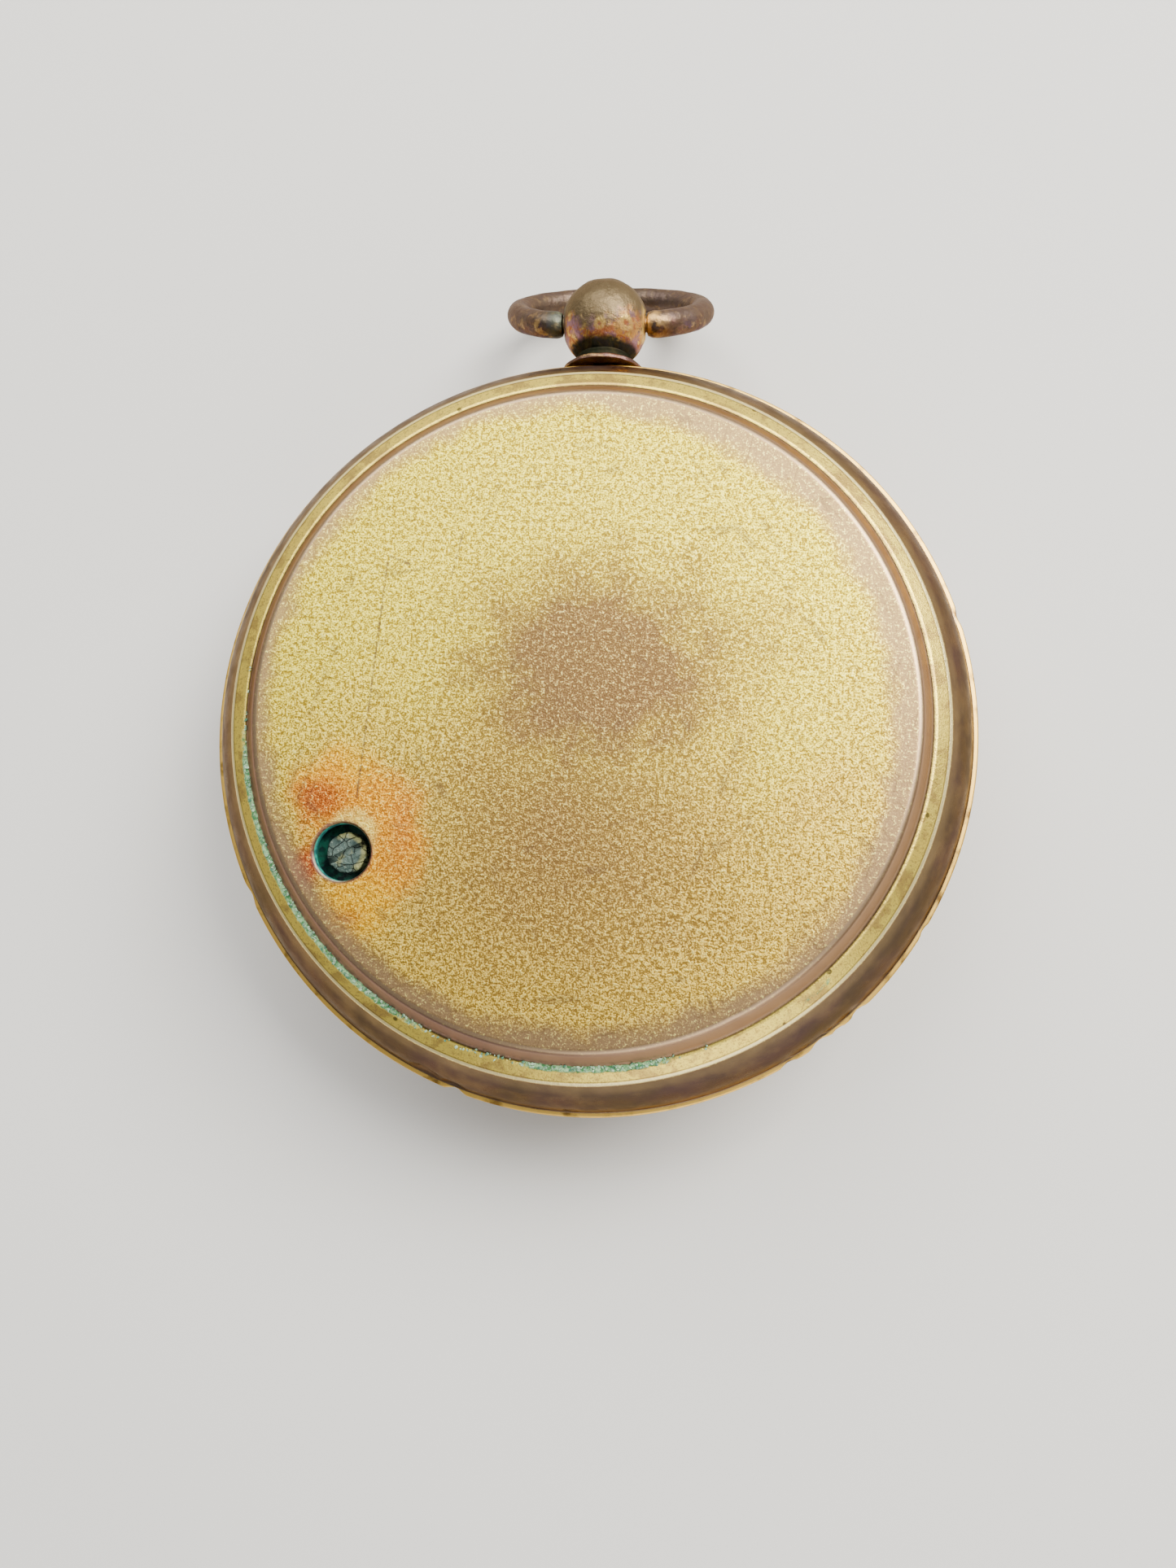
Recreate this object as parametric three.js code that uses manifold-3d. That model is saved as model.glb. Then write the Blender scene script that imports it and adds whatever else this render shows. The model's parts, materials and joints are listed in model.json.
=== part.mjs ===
// Pocket aneroid barometer in a watch-form brass case, lying on its front.
// Millimetres. The origin is the centre of the flat back, +Z points out of the back and +Y towards the
// pendant. Depths are measured from the back face towards the dial, so a depth d lies at z = -d.
// The movement is laid out along its spine: x runs from the pointer arbor towards the adjusting screw.

import * as THREE from 'three';
import { mergeVertices } from 'three/addons/utils/BufferGeometryUtils.js';
import Module from 'manifold-3d';

const wasm = await Module();
wasm.setup();

// ---- Driving dimensions ----------------------------------------------------------------------------

const LIP_RADIUS = 25; // snap lip, the widest part of the case
const CASE_SEGMENTS = 48;
const FINE_SEGMENTS = 24;
const PIN_SEGMENTS = 12;
const SMALL_SEGMENTS = 10;
const CUT_PAST = 1; // how far a cutter runs past the face it leaves

const SNAP_GAP = 0.05; // between case pieces that snap together
const SEAT_GAP = 0.1; // between pieces that rest on each other
const SCREW_GAP = 0.05; // round a screw's shank
const PIVOT_GAP = 0.1; // round a moving pivot

// Back cover, as insets from the lip radius and depths from the back face
const COVER_HEIGHT = 6.4;
const COVER_SHEET = 0.8;
const COVER_BEND = 0.6; // inset of the sheet's inner bends from its outer ones
const LIP_HEIGHT = 0.5;
const PLATEAU_INSET = 4.55;
const PLATEAU_ROUND = 0.3;
const STEP_INSET = 3.7;
const STEP_DEPTH = 1.15;
const BAND_INSET = 2.5;
const BAND_DEPTH = 1.82;
const WALL_INSET = 0.35;
const WALL_BULGE = 0.32;
const WALL_STEPS = 4;
const ACCESS_HOLE_RADIUS = 1.75;

// Case middle
const NECK_INSET = 1.95;
const NECK_RISE = 2.6;
const LEDGE_WIDTH = 3.85;
const LEDGE_THICKNESS = 1.4;
const BODY_INSET = 0.55;
const BODY_BORE_INSET = 2.6;
const FRONT_NECK_INSET = 1.6;
const FRONT_NECK_HEIGHT = 1.65;

// Bezel and crystal
const RIM_WIDTH = 0.9;
const RIM_INSET = 1.8;
const RIM_GUARD = 0.7;
const BEZEL_BAND = 1.85;
const CRYSTAL_EDGE = 0.5;
const CRYSTAL_THICKNESS = 1.35;
const CRYSTAL_BEVEL = 1.45;
const CRYSTAL_INSET = 3.5;
const GROOVE_DEPTH = 0.6;
const SLOPE_HEIGHT = 0.8;

// Pendant and bow
const PENDANT_DROP = 1.4; // pendant axis below the lip
const STUB_RADIUS = 1.1;
const STUB_PAST_NUT = 0.35;
const FLANGE_RADIUS = 2.8;
const FLANGE_THICKNESS = 0.5;
const COLLAR_RADIUS = 1.9;
const COLLAR_HEIGHT = 0.7;
const BALL_RADIUS = 3;
const BALL_SEAT_RADIUS = 1.66;
const BALL_FLAT = 0.2; // each side of the ball is filed flat by this much
const PENDANT_NUT_RADIUS = 1.9;
const PENDANT_NUT_THICKNESS = 0.75;
const PENDANT_NUT_GAP = 0.15;
const BALL_STEPS = 12;
const BOW_WIRE = 0.9; // wire radius
const BOW_HALF_WIDTH = 6.7; // centre line of the oval bow, across the pivots
const BOW_HALF_LENGTH = 5.9; // and away from them
const BOW_STANDOFF = 0.87; // wire centre beyond the ball
const BOW_PIN = 0.55;
const BOW_PIN_DEPTH = 0.9;
const BOW_STEPS = 26;
const BOW_SIDES = 10;
const BOW_END_RINGS = 8;

// Movement plates and posts
const PLATE_THICKNESS = 1;
const PLATE_OVERHANG = 2.2;
const BASE_SCREW_INSET = 1;
const PILLAR_RADIUS = 0.9;
const PILLAR_INSET = 1.8;
const BRIDGE_LIFT = 0.6;
const BRIDGE_THICKNESS = 1;
const BRIDGE_WIDTH = 2.5;
const BRIDGE_INSET = 3.6;
const ADJUSTER_PAST_BRIDGE = 1.24;
const ADJUSTER_RISE = 0.4; // its head's seat above the base plate
const TAIL_WIDTH = 3;
const TAIL_PAST_SCREW = 1.56;

// Capsule
const CAPSULE_GAP = 0.6;
const CAPSULE_LIFT = 1;
const CAPSULE_HEIGHT = 3;
const CAPSULE_SHEET = 0.25;
const CAPSULE_RIM = 1;
const CAPSULE_BOSS = 2;
const CAPSULE_WAVES = 4;
const CAPSULE_WAVE_DEPTH = 0.3;
const CAPSULE_CREST_DEPTH = 0.1;
const CAPSULE_SHOULDER = 0.3;
const CAPSULE_NUT_THICKNESS = 0.5;
const CAPSULE_NUT_SHARE = 0.8; // of the boss radius
const CAPSULE_STEM = 0.8;
const POST_RADIUS = 0.6;
const POST_PLAY = 0.3; // the post rises and falls by less than this

// Mainspring, lever, link and rocker
const LEAF_THICKNESS = 0.5;
const LEAF_LIFT = 1.2;
const LEAF_WIDTH = 9;
const LEAF_TIP = 1.6;
const LEAF_HOLE = 0.9;
const SPRING_BEND_GAP = 0.2;
const SPRING_ROOT_LAP = 0.2;
const SPRING_SCREW_SPREAD = 3;
const KNIFE_RADIUS = 0.2;
const KNIFE_LENGTH = 3;
const KNIFE_LIFT = 0.45;
const POST_PAST_KNIFE = 0.4;
const LEVER_LIFT = 0.3;
const LEVER_THICKNESS = 0.4;
const LEVER_WIDTH = 1.6;
const LEVER_OFFSET = 3.2;
const LEVER_ROOT = 8;
const LEVER_SCREWS = [ - 7, - 3.5 ];
const LEVER_PAST_LINK = 0.4;
const LINK_RADIUS = 0.2;
const LINK_TOP_GAP = 0.4;
const LINK_FOOT_GAP = 0.15;
const SHORT_ARM = 1;
const ROCKER_RADIUS = 0.35;
const ROCKER_REACH_PAST_CAPSULE = 2.7;
const ROCKER_DEPTH_BELOW_CAPSULE = 0.3;
const ARM_WIDTH = 0.4;
const ROCKER_PAST_LEVER = 2.1;
const FAR_POST_PAST_LEVER = 1.3;
const POST_HALF_LENGTH = 0.8;
const POST_PAST_ARBOR = 0.7;

// Pointer arbor, chain, hairspring and top plate
const ARBOR_RADIUS = 0.35;
const ARBOR_PIVOT = 0.2;
const DRUM_RADIUS = 0.6;
const DRUM_HEIGHT = 0.45;
const DRUM_GAP = 0.15;
const DRUM_NECK = 0.7; // share of the drum radius
const ARBOR_TIP = 0.4;
const CHAIN_RADIUS = 0.12;
const CHAIN_GAP = 0.06;
const CHAIN_PAST_DRUM = 0.3;
const CHAIN_ARM_GAP = 0.25;
const CHAIN_SIDES = 8;
const COCK_CLEARANCE = 0.35;
const COCK_THICKNESS = 0.4;
const COCK_WIDTH = 2;
const COCK_LEG = 0.6;
const COCK_PAST_ARBOR = 0.9;
const HAIRSPRING_HEIGHT = 0.3;
const HAIRSPRING_WALL = 0.14;
const HAIRSPRING_INNER = 0.9;
const HAIRSPRING_OUTER = 3.2;
const HAIRSPRING_TURNS = 3.5;
const HAIRSPRING_STEPS = 56;
const HAIRSPRING_GAP = 0.2;
const STUD_RADIUS = 0.3;
const STUD_OFFSET = 0.5;
const TOP_PLATE = 0.5;
const TOP_PLATE_HUB = 5;
const TOP_PLATE_WIDTH = 5;
const TOP_PLATE_MARGIN = 1.4; // past its pillars
const TOP_ARM_MARGIN = 1.2; // past the rocker
const TOP_ARM_PAST_LEVER = 2.6;
const POST_BLOCK = 0.7;

// Dial and pointer
const DIAL_THICKNESS = 0.5;
const DIAL_INSET = 3.1;
const DIAL_HOLE = 1;
const DIAL_LIFT = 0.6;
const CRYSTAL_CLEARANCE = 0.35;
const POINTER_THICKNESS = 0.2;
const POINTER_CLEARANCE = 0.5;
const POINTER_GAP_TO_PILLARS = 2.9;
const POINTER_TAIL = 5;
const POINTER_WIDTH = 0.55;
const POINTER_HUB = 1.1;
const POINTER_BLADE = [ 0.68, 0.78 ]; // shares of the reach where the blade starts and is widest
const POINTER_REST = THREE.MathUtils.degToRad( 62 );

// Screws: head radius, head height, shank radius
const ADJUSTER = { head: 1.3, height: 1.35, shank: 0.85 };
const PLATE_SCREW = { head: 0.65, height: 0.45, shank: 0.35 };
const BRIDGE_SCREW = { head: 1, height: 0.6, shank: 0.5 };
const LEAF_SCREW = { head: 0.8, height: 0.5, shank: 0.4 };
const LEVER_SCREW = { head: 0.6, height: 0.32, shank: 0.3 };
const TOP_SCREW = { head: 0.9, height: 0.35, shank: 0.4 };
const DIAL_SCREW = { head: 0.75, height: 0.28, shank: 0.35 };
const HEAD_GAP = 0.03;
const SLOT_WIDTH = 0.3; // share of the head radius
const SLOT_DEPTH = 0.45; // share of the head height
const SCREW_DEPTH = 2; // how far a screw enters its post

// Directions in the plane of the back
const SPINE_ANGLE = THREE.MathUtils.degToRad( 212.2 );
const PILLAR_ANGLES = [ 60, 180, 300 ].map( THREE.MathUtils.degToRad );

// ---- Sizes that follow -----------------------------------------------------------------------------

const plateauRadius = LIP_RADIUS - PLATEAU_INSET;
const stepRadius = LIP_RADIUS - STEP_INSET;
const bandRadius = LIP_RADIUS - BAND_INSET;
const neckRadius = LIP_RADIUS - NECK_INSET;
const ledgeRadius = neckRadius - LEDGE_WIDTH;
const bodyBore = LIP_RADIUS - BODY_BORE_INSET;
const frontNeckRadius = LIP_RADIUS - FRONT_NECK_INSET;

const neckTop = COVER_HEIGHT - NECK_RISE;
const rearShoulder = COVER_HEIGHT + SNAP_GAP;
const plateFront = neckTop - SEAT_GAP;
const plateBack = plateFront - PLATE_THICKNESS;
const plateRadius = ledgeRadius + PLATE_OVERHANG;
const pillarReach = ledgeRadius + BASE_SCREW_INSET;
const ledgeFront = neckTop + LEDGE_THICKNESS;

const bridgeBack = plateFront + BRIDGE_LIFT;
const bridgeFront = bridgeBack + BRIDGE_THICKNESS;
const bridgeOuter = ledgeRadius - BRIDGE_INSET;
const bridgeInner = bridgeOuter - BRIDGE_WIDTH;
const bridgeMiddle = ( bridgeOuter + bridgeInner ) / 2;
const adjusterReach = bridgeOuter + ADJUSTER_PAST_BRIDGE;

const capsuleRadius = bridgeInner - CAPSULE_GAP;
const capsuleBack = plateFront + CAPSULE_LIFT;
const capsuleFront = capsuleBack + CAPSULE_HEIGHT;

const lowerLeafBack = bridgeFront + SEAT_GAP / 2;
const lowerLeafFront = lowerLeafBack + LEAF_THICKNESS;
const upperLeafBack = capsuleFront + LEAF_LIFT;
const upperLeafFront = upperLeafBack + LEAF_THICKNESS;
const springBend = bridgeOuter + SPRING_BEND_GAP;
const knifeDepth = upperLeafFront + KNIFE_LIFT;
const postEnd = knifeDepth + POST_PAST_KNIFE;
const leverBack = upperLeafFront + LEVER_LIFT;
const leverFront = leverBack + LEVER_THICKNESS;
const rockerReach = capsuleRadius + ROCKER_REACH_PAST_CAPSULE;
const rockerDepth = capsuleFront - ROCKER_DEPTH_BELOW_CAPSULE;
const linkReach = rockerReach - SHORT_ARM;

const cockBack = postEnd + COCK_CLEARANCE;
const cockFront = cockBack + COCK_THICKNESS;
const drumBack = cockFront + DRUM_GAP;
const drumFront = drumBack + DRUM_HEIGHT;
const chainDepth = ( drumBack + drumFront ) / 2;
const chainOffset = DRUM_RADIUS + CHAIN_GAP + CHAIN_RADIUS;
const hairspringBack = drumFront + SEAT_GAP;
const hairspringFront = hairspringBack + HAIRSPRING_HEIGHT;
const studReach = HAIRSPRING_OUTER + HAIRSPRING_WALL + STUD_RADIUS + SEAT_GAP;
const cockReach = studReach + STUD_RADIUS + SEAT_GAP + COCK_LEG;
const topPlateBack = hairspringFront + HAIRSPRING_GAP;
const topPlateFront = topPlateBack + TOP_PLATE;
const topPillarReach = ledgeRadius - PILLAR_INSET;

const dialBack = topPlateFront + DIAL_LIFT;
const dialFront = dialBack + DIAL_THICKNESS;
const dialRadius = LIP_RADIUS - DIAL_INSET;
const pointerBack = dialFront + POINTER_CLEARANCE;
const pointerFront = pointerBack + POINTER_THICKNESS;
const pointerReach = pillarReach - POINTER_GAP_TO_PILLARS;
const arborFront = pointerFront + ARBOR_TIP;

const frontNeckEnd = dialBack - SEAT_GAP;
const frontShoulder = frontNeckEnd - FRONT_NECK_HEIGHT;
const crystalBack = arborFront + CRYSTAL_CLEARANCE;
const crystalEdgeFront = crystalBack + CRYSTAL_EDGE;
const crystalFront = crystalBack + CRYSTAL_THICKNESS;
const crystalRadius = LIP_RADIUS - CRYSTAL_INSET;
const caseFront = crystalFront + RIM_GUARD;

const pendantDepth = COVER_HEIGHT + PENDANT_DROP;
const flangeStart = LIP_RADIUS + SEAT_GAP;
const collarEnd = flangeStart + FLANGE_THICKNESS + COLLAR_HEIGHT;
const ballSeat = collarEnd + SNAP_GAP;
const ballCentre = ballSeat + Math.sqrt( BALL_RADIUS ** 2 - BALL_SEAT_RADIUS ** 2 );
const bowHalfSpan = BALL_RADIUS + BOW_STANDOFF;
const bowFoot = Math.acos( bowHalfSpan / BOW_HALF_WIDTH );
const bowCentre = BOW_HALF_LENGTH * Math.sin( bowFoot );
const bowReach = bowCentre + BOW_HALF_LENGTH;
const bowDrop = Math.asin( ( caseFront - pendantDepth - BOW_WIRE - SNAP_GAP ) / bowReach );

// ---- Materials -------------------------------------------------------------------------------------

const finish = ( color, roughness, metalness ) => new THREE.MeshStandardMaterial( {
	color, roughness, metalness
} );
const gilt = finish( 0xd9be6a, 0.42, 1 );
const tarnishedGilt = finish( 0x8f7350, 0.4, 1 );
const brass = finish( 0xc9a85a, 0.35, 1 );
const steel = finish( 0x8d9096, 0.3, 1 );
const bluedSteel = finish( 0x26345c, 0.25, 1 );
const rustedSteel = finish( 0x6c6a58, 0.7, 0.7 );
const nickelSilver = finish( 0xb9b4a6, 0.3, 1 );
const enamel = finish( 0xe6e2d4, 0.5, 0 );
const glass = new THREE.MeshStandardMaterial( {
	color: 0xe8f0f0, roughness: 0.05, metalness: 0, transparent: true, opacity: 0.35
} );

// ---- Shape helpers ---------------------------------------------------------------------------------

// A closed mesh with shared vertices, no empty triangles and its faces pointing out.
function closed( geometry ) {

	geometry.deleteAttribute( 'normal' );
	geometry.deleteAttribute( 'uv' );
	const merged = mergeVertices( geometry );
	const point = merged.attributes.position;
	const index = [];
	const [ a, b, c ] = [ new THREE.Vector3(), new THREE.Vector3(), new THREE.Vector3() ];
	let volume = 0;
	for ( let i = 0; i < merged.index.count; i += 3 ) {

		const corners = [ 0, 1, 2 ].map( ( k ) => merged.index.getX( i + k ) );
		if ( new Set( corners ).size < 3 ) continue;
		index.push( ...corners );
		a.fromBufferAttribute( point, corners[ 0 ] );
		b.fromBufferAttribute( point, corners[ 1 ] );
		c.fromBufferAttribute( point, corners[ 2 ] );
		volume += a.dot( b.cross( c ) );

	}

	if ( volume < 0 ) index.reverse();
	merged.setIndex( index );
	return merged;

}

function toSolid( geometry ) {

	const mesh = closed( geometry );
	return new wasm.Manifold( new wasm.Mesh( {
		numProp: 3,
		vertProperties: new Float32Array( mesh.attributes.position.array ),
		triVerts: new Uint32Array( mesh.index.array )
	} ) );

}

function toGeometry( solid ) {

	const mesh = solid.getMesh();
	const geometry = new THREE.BufferGeometry();
	geometry.setAttribute( 'position', new THREE.Float32BufferAttribute( mesh.vertProperties, 3 ) );
	geometry.setIndex( [ ...mesh.triVerts ] );
	return geometry;

}

// The first geometry with the others cut out of it.
function cut( geometry, ...tools ) {

	const body = toSolid( geometry );
	return toGeometry( tools.reduce( ( solid, tool ) => solid.subtract( toSolid( tool ) ), body ) );

}

function join( geometry, ...others ) {

	const body = toSolid( geometry );
	return toGeometry( others.reduce( ( solid, other ) => solid.add( toSolid( other ) ), body ) );

}

// A body of revolution about Z from [ radius, depth ] points.
function turned( profile, segments = CASE_SEGMENTS ) {

	const points = profile.map( ( [ radius, depth ] ) => new THREE.Vector2( radius, - depth ) );
	return closed( new THREE.LatheGeometry( points, segments ).rotateX( Math.PI / 2 ) );

}

function ring( inner, outer, back, front, segments = CASE_SEGMENTS ) {

	return turned( [ [ inner, back ], [ outer, back ], [ outer, front ], [ inner, front ], [ inner, back ] ],
		segments );

}

function rod( radius, back, front, x = 0, y = 0, segments = SMALL_SEGMENTS ) {

	return turned( [ [ 0, back ], [ radius, back ], [ radius, front ], [ 0, front ] ], segments )
		.translate( x, y, 0 );

}

// A block between two corners given as [ x, y, depth ].
function block( from, to ) {

	const size = to.map( ( value, i ) => value - from[ i ] );
	return new THREE.BoxGeometry( size[ 0 ], size[ 1 ], size[ 2 ] )
		.translate( from[ 0 ] + size[ 0 ] / 2, from[ 1 ] + size[ 1 ] / 2, - from[ 2 ] - size[ 2 ] / 2 );

}

// A cutter for a hole between two depths.
function drill( radius, back, front, x = 0, y = 0, segments = SMALL_SEGMENTS ) {

	return rod( radius, back - CUT_PAST, front + CUT_PAST, x, y, segments );

}

// A pin along X or Y through the middle of its length.
function crossPin( radius, length, segments = PIN_SEGMENTS ) {

	return new THREE.CylinderGeometry( radius, radius, length, segments );

}

// A screw with its head's seat at z = 0, its head above and its shank below.
function screw( { head, height, shank }, length ) {

	const body = turned( [
		[ 0, - height ], [ head * 0.8, - height ], [ head, - height * 0.7 ], [ head, 0 ],
		[ shank, 0 ], [ shank, length ], [ 0, length ]
	], SMALL_SEGMENTS );
	const slot = new THREE.BoxGeometry( head * 2.4, head * SLOT_WIDTH, height * SLOT_DEPTH * 2 )
		.translate( 0, 0, height );
	return cut( body, slot );

}

function piece( name, geometry, material, parent ) {

	const mesh = new THREE.Mesh( geometry, material );
	mesh.name = name;
	parent.add( mesh );
	return mesh;

}

function place( mesh, x, y, depth ) {

	mesh.position.set( x, y, - depth );
	return mesh;

}

const around = ( reach, angle ) => [ reach * Math.cos( angle ), reach * Math.sin( angle ) ];

const group = new THREE.Group();
const movement = new THREE.Group();
movement.rotation.z = SPINE_ANGLE;
group.add( movement );

// ---- Case ------------------------------------------------------------------------------------------

// Outside of the sprung back: flat field, coved step, sloping band, bulging wall and thin lip.
function coverOutline() {

	const lipTop = COVER_HEIGHT - LIP_HEIGHT;
	const wallFoot = LIP_RADIUS - WALL_INSET;
	const points = [
		[ 0, 0 ], [ plateauRadius - PLATEAU_ROUND, 0 ], [ plateauRadius, PLATEAU_ROUND * 0.6 ],
		[ ( plateauRadius + stepRadius ) / 2 - 0.1, STEP_DEPTH * 0.75 ], [ stepRadius, STEP_DEPTH ],
		[ bandRadius, BAND_DEPTH ]
	];
	for ( let i = 1; i <= WALL_STEPS; i ++ ) {

		const t = i / WALL_STEPS;
		const bulge = WALL_BULGE * Math.sin( Math.PI * t );
		points.push( [
			THREE.MathUtils.lerp( bandRadius, wallFoot, t ) + bulge,
			THREE.MathUtils.lerp( BAND_DEPTH, lipTop, t )
		] );

	}

	points.push( [ LIP_RADIUS, lipTop + 0.1 ], [ LIP_RADIUS, COVER_HEIGHT ] );
	return points;

}

function backCover() {

	const bore = neckRadius + SNAP_GAP;
	const inside = [
		[ bore, COVER_HEIGHT ], [ bore, neckTop - SEAT_GAP ],
		[ bandRadius - COVER_BEND, BAND_DEPTH + COVER_SHEET ],
		[ stepRadius - COVER_BEND, STEP_DEPTH + COVER_SHEET ],
		[ plateauRadius - COVER_BEND, COVER_SHEET ], [ 0, COVER_SHEET ]
	];
	const spot = around( adjusterReach, SPINE_ANGLE );
	const hole = drill( ACCESS_HOLE_RADIUS, 0, COVER_SHEET, ...spot, FINE_SEGMENTS );
	return cut( turned( [ ...coverOutline(), ...inside ] ), hole );

}

function caseMiddle() {

	const bodyRadius = LIP_RADIUS - BODY_INSET;
	const profile = [
		[ ledgeRadius, neckTop ], [ neckRadius, neckTop ], [ neckRadius, rearShoulder ],
		[ bodyRadius, rearShoulder ], [ bodyRadius, frontShoulder ], [ frontNeckRadius, frontShoulder ],
		[ frontNeckRadius, frontNeckEnd ], [ bodyBore, frontNeckEnd ], [ bodyBore, ledgeFront ],
		[ ledgeRadius, ledgeFront ], [ ledgeRadius, neckTop ]
	];
	const pendantHole = crossPin( STUB_RADIUS + SCREW_GAP, NECK_INSET + BODY_BORE_INSET, FINE_SEGMENTS )
		.translate( 0, LIP_RADIUS - BODY_BORE_INSET / 2, - pendantDepth );
	const screwHoles = PILLAR_ANGLES.map( ( angle ) => drill(
		PLATE_SCREW.shank + SCREW_GAP, neckTop, ledgeFront,
		...around( pillarReach, angle + SPINE_ANGLE )
	) );
	return cut( turned( profile ), pendantHole, ...screwHoles );

}

function bezel() {

	const back = frontShoulder + SEAT_GAP;
	const bore = frontNeckRadius + SNAP_GAP;
	const shelf = frontNeckEnd + SEAT_GAP;
	const grooveRadius = crystalRadius + SNAP_GAP;
	const lipRadius = grooveRadius - GROOVE_DEPTH;
	const rimOuter = LIP_RADIUS - RIM_INSET;
	return turned( [
		[ bore, back ], [ LIP_RADIUS, back ], [ LIP_RADIUS, back + BEZEL_BAND ],
		[ LIP_RADIUS - 0.5, back + BEZEL_BAND + 1 ], [ rimOuter + 0.35, caseFront - 0.45 ],
		[ rimOuter, caseFront ], [ rimOuter - RIM_WIDTH, caseFront ], [ lipRadius, crystalEdgeFront + 0.2 ],
		[ lipRadius, crystalEdgeFront + SNAP_GAP ], [ grooveRadius, crystalEdgeFront + SNAP_GAP ],
		[ grooveRadius, crystalBack - SNAP_GAP ], [ lipRadius, crystalBack - SNAP_GAP ],
		[ dialRadius + 0.3, crystalBack - SLOPE_HEIGHT ], [ dialRadius + 0.3, shelf ], [ bore, shelf ],
		[ bore, back ]
	] );

}

function crystal() {

	const bevelFoot = crystalRadius - GROOVE_DEPTH - SEAT_GAP;
	return turned( [
		[ 0, crystalBack ], [ crystalRadius, crystalBack ], [ crystalRadius, crystalEdgeFront ],
		[ bevelFoot, crystalEdgeFront ], [ bevelFoot - CRYSTAL_BEVEL, crystalFront ], [ 0, crystalFront ]
	] );

}

piece( 'back_cover', backCover(), gilt, group );
piece( 'case_middle', caseMiddle(), gilt, group );
piece( 'bezel', bezel(), gilt, group );
piece( 'crystal', crystal(), glass, group );

// ---- Pendant and bow -------------------------------------------------------------------------------

function pendantCollar() {

	const stubStart = bodyBore - PENDANT_NUT_THICKNESS - STUB_PAST_NUT;
	const flangeEnd = flangeStart + FLANGE_THICKNESS;
	const points = [
		[ 0, stubStart ], [ STUB_RADIUS, stubStart ], [ STUB_RADIUS, flangeStart ],
		[ FLANGE_RADIUS, flangeStart ], [ FLANGE_RADIUS, flangeStart + FLANGE_THICKNESS * 0.6 ],
		[ FLANGE_RADIUS - 0.3, flangeEnd ], [ COLLAR_RADIUS, flangeEnd ],
		[ COLLAR_RADIUS - 0.15, collarEnd ], [ 0, collarEnd ]
	].map( ( [ radius, y ] ) => new THREE.Vector2( radius, y ) );
	return closed( new THREE.LatheGeometry( points, FINE_SEGMENTS ) );

}

// The ball stands on the collar, with filed flats and blind pivot holes at its sides.
function pendantBall() {

	const start = Math.asin( BALL_SEAT_RADIUS / BALL_RADIUS );
	const points = [ new THREE.Vector2( 0, - BALL_RADIUS * Math.cos( start ) ) ];
	for ( let i = 0; i <= BALL_STEPS; i ++ ) {

		const angle = THREE.MathUtils.lerp( start, Math.PI, i / BALL_STEPS );
		const radius = i === BALL_STEPS ? 0 : BALL_RADIUS * Math.sin( angle );
		points.push( new THREE.Vector2( radius, - BALL_RADIUS * Math.cos( angle ) ) );

	}

	const ball = closed( new THREE.LatheGeometry( points, FINE_SEGMENTS ) );
	const flat = BALL_RADIUS - BALL_FLAT;
	const cuts = [ - 1, 1 ].flatMap( ( side ) => [
		new THREE.BoxGeometry( 2 * CUT_PAST, 2 * BALL_RADIUS, 2 * BALL_RADIUS )
			.translate( side * ( flat + CUT_PAST ), 0, 0 ),
		crossPin( BOW_PIN + PIVOT_GAP, 2 * BOW_PIN_DEPTH, SMALL_SEGMENTS )
			.rotateZ( Math.PI / 2 ).translate( side * flat, 0, 0 )
	] );
	return cut( ball, ...cuts );

}

function hexNut( radius, thickness, bore ) {

	const shape = new THREE.Shape();
	for ( let i = 0; i < 6; i ++ ) {

		const [ x, y ] = around( radius, i * Math.PI / 3 );
		if ( i === 0 ) shape.moveTo( x, y );
		else shape.lineTo( x, y );

	}

	const hole = new THREE.Path();
	hole.absarc( 0, 0, bore, 0, 2 * Math.PI, true );
	shape.holes.push( hole );
	return closed( new THREE.ExtrudeGeometry( shape, {
		depth: thickness, bevelEnabled: false, curveSegments: SMALL_SEGMENTS
	} ) );

}

// Centre line of the bow: an oval from one side of the ball round to the other.
class BowArc extends THREE.Curve {

	getPoint( t, target = new THREE.Vector3() ) {

		const angle = THREE.MathUtils.lerp( - bowFoot, Math.PI + bowFoot, t );
		const away = bowCentre + BOW_HALF_LENGTH * Math.sin( angle );
		return target.set( BOW_HALF_WIDTH * Math.cos( angle ), away, 0 );

	}

}

function bow() {

	const section = new THREE.Shape().absarc( 0, 0, BOW_WIRE, 0, 2 * Math.PI );
	const arc = new THREE.ExtrudeGeometry( section, {
		steps: BOW_STEPS, curveSegments: BOW_SIDES / 2, extrudePath: new BowArc()
	} );
	const pinLength = bowHalfSpan - ( BALL_RADIUS - BALL_FLAT ) + BOW_PIN_DEPTH - PIVOT_GAP;
	const ends = [ - 1, 1 ].flatMap( ( side ) => [
		new THREE.SphereGeometry( BOW_WIRE, BOW_SIDES, BOW_END_RINGS ).translate( side * bowHalfSpan, 0, 0 ),
		crossPin( BOW_PIN, pinLength, BOW_SIDES )
			.rotateZ( Math.PI / 2 ).translate( side * ( bowHalfSpan - pinLength / 2 ), 0, 0 )
	] );
	return join( arc, ...ends );

}

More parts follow.
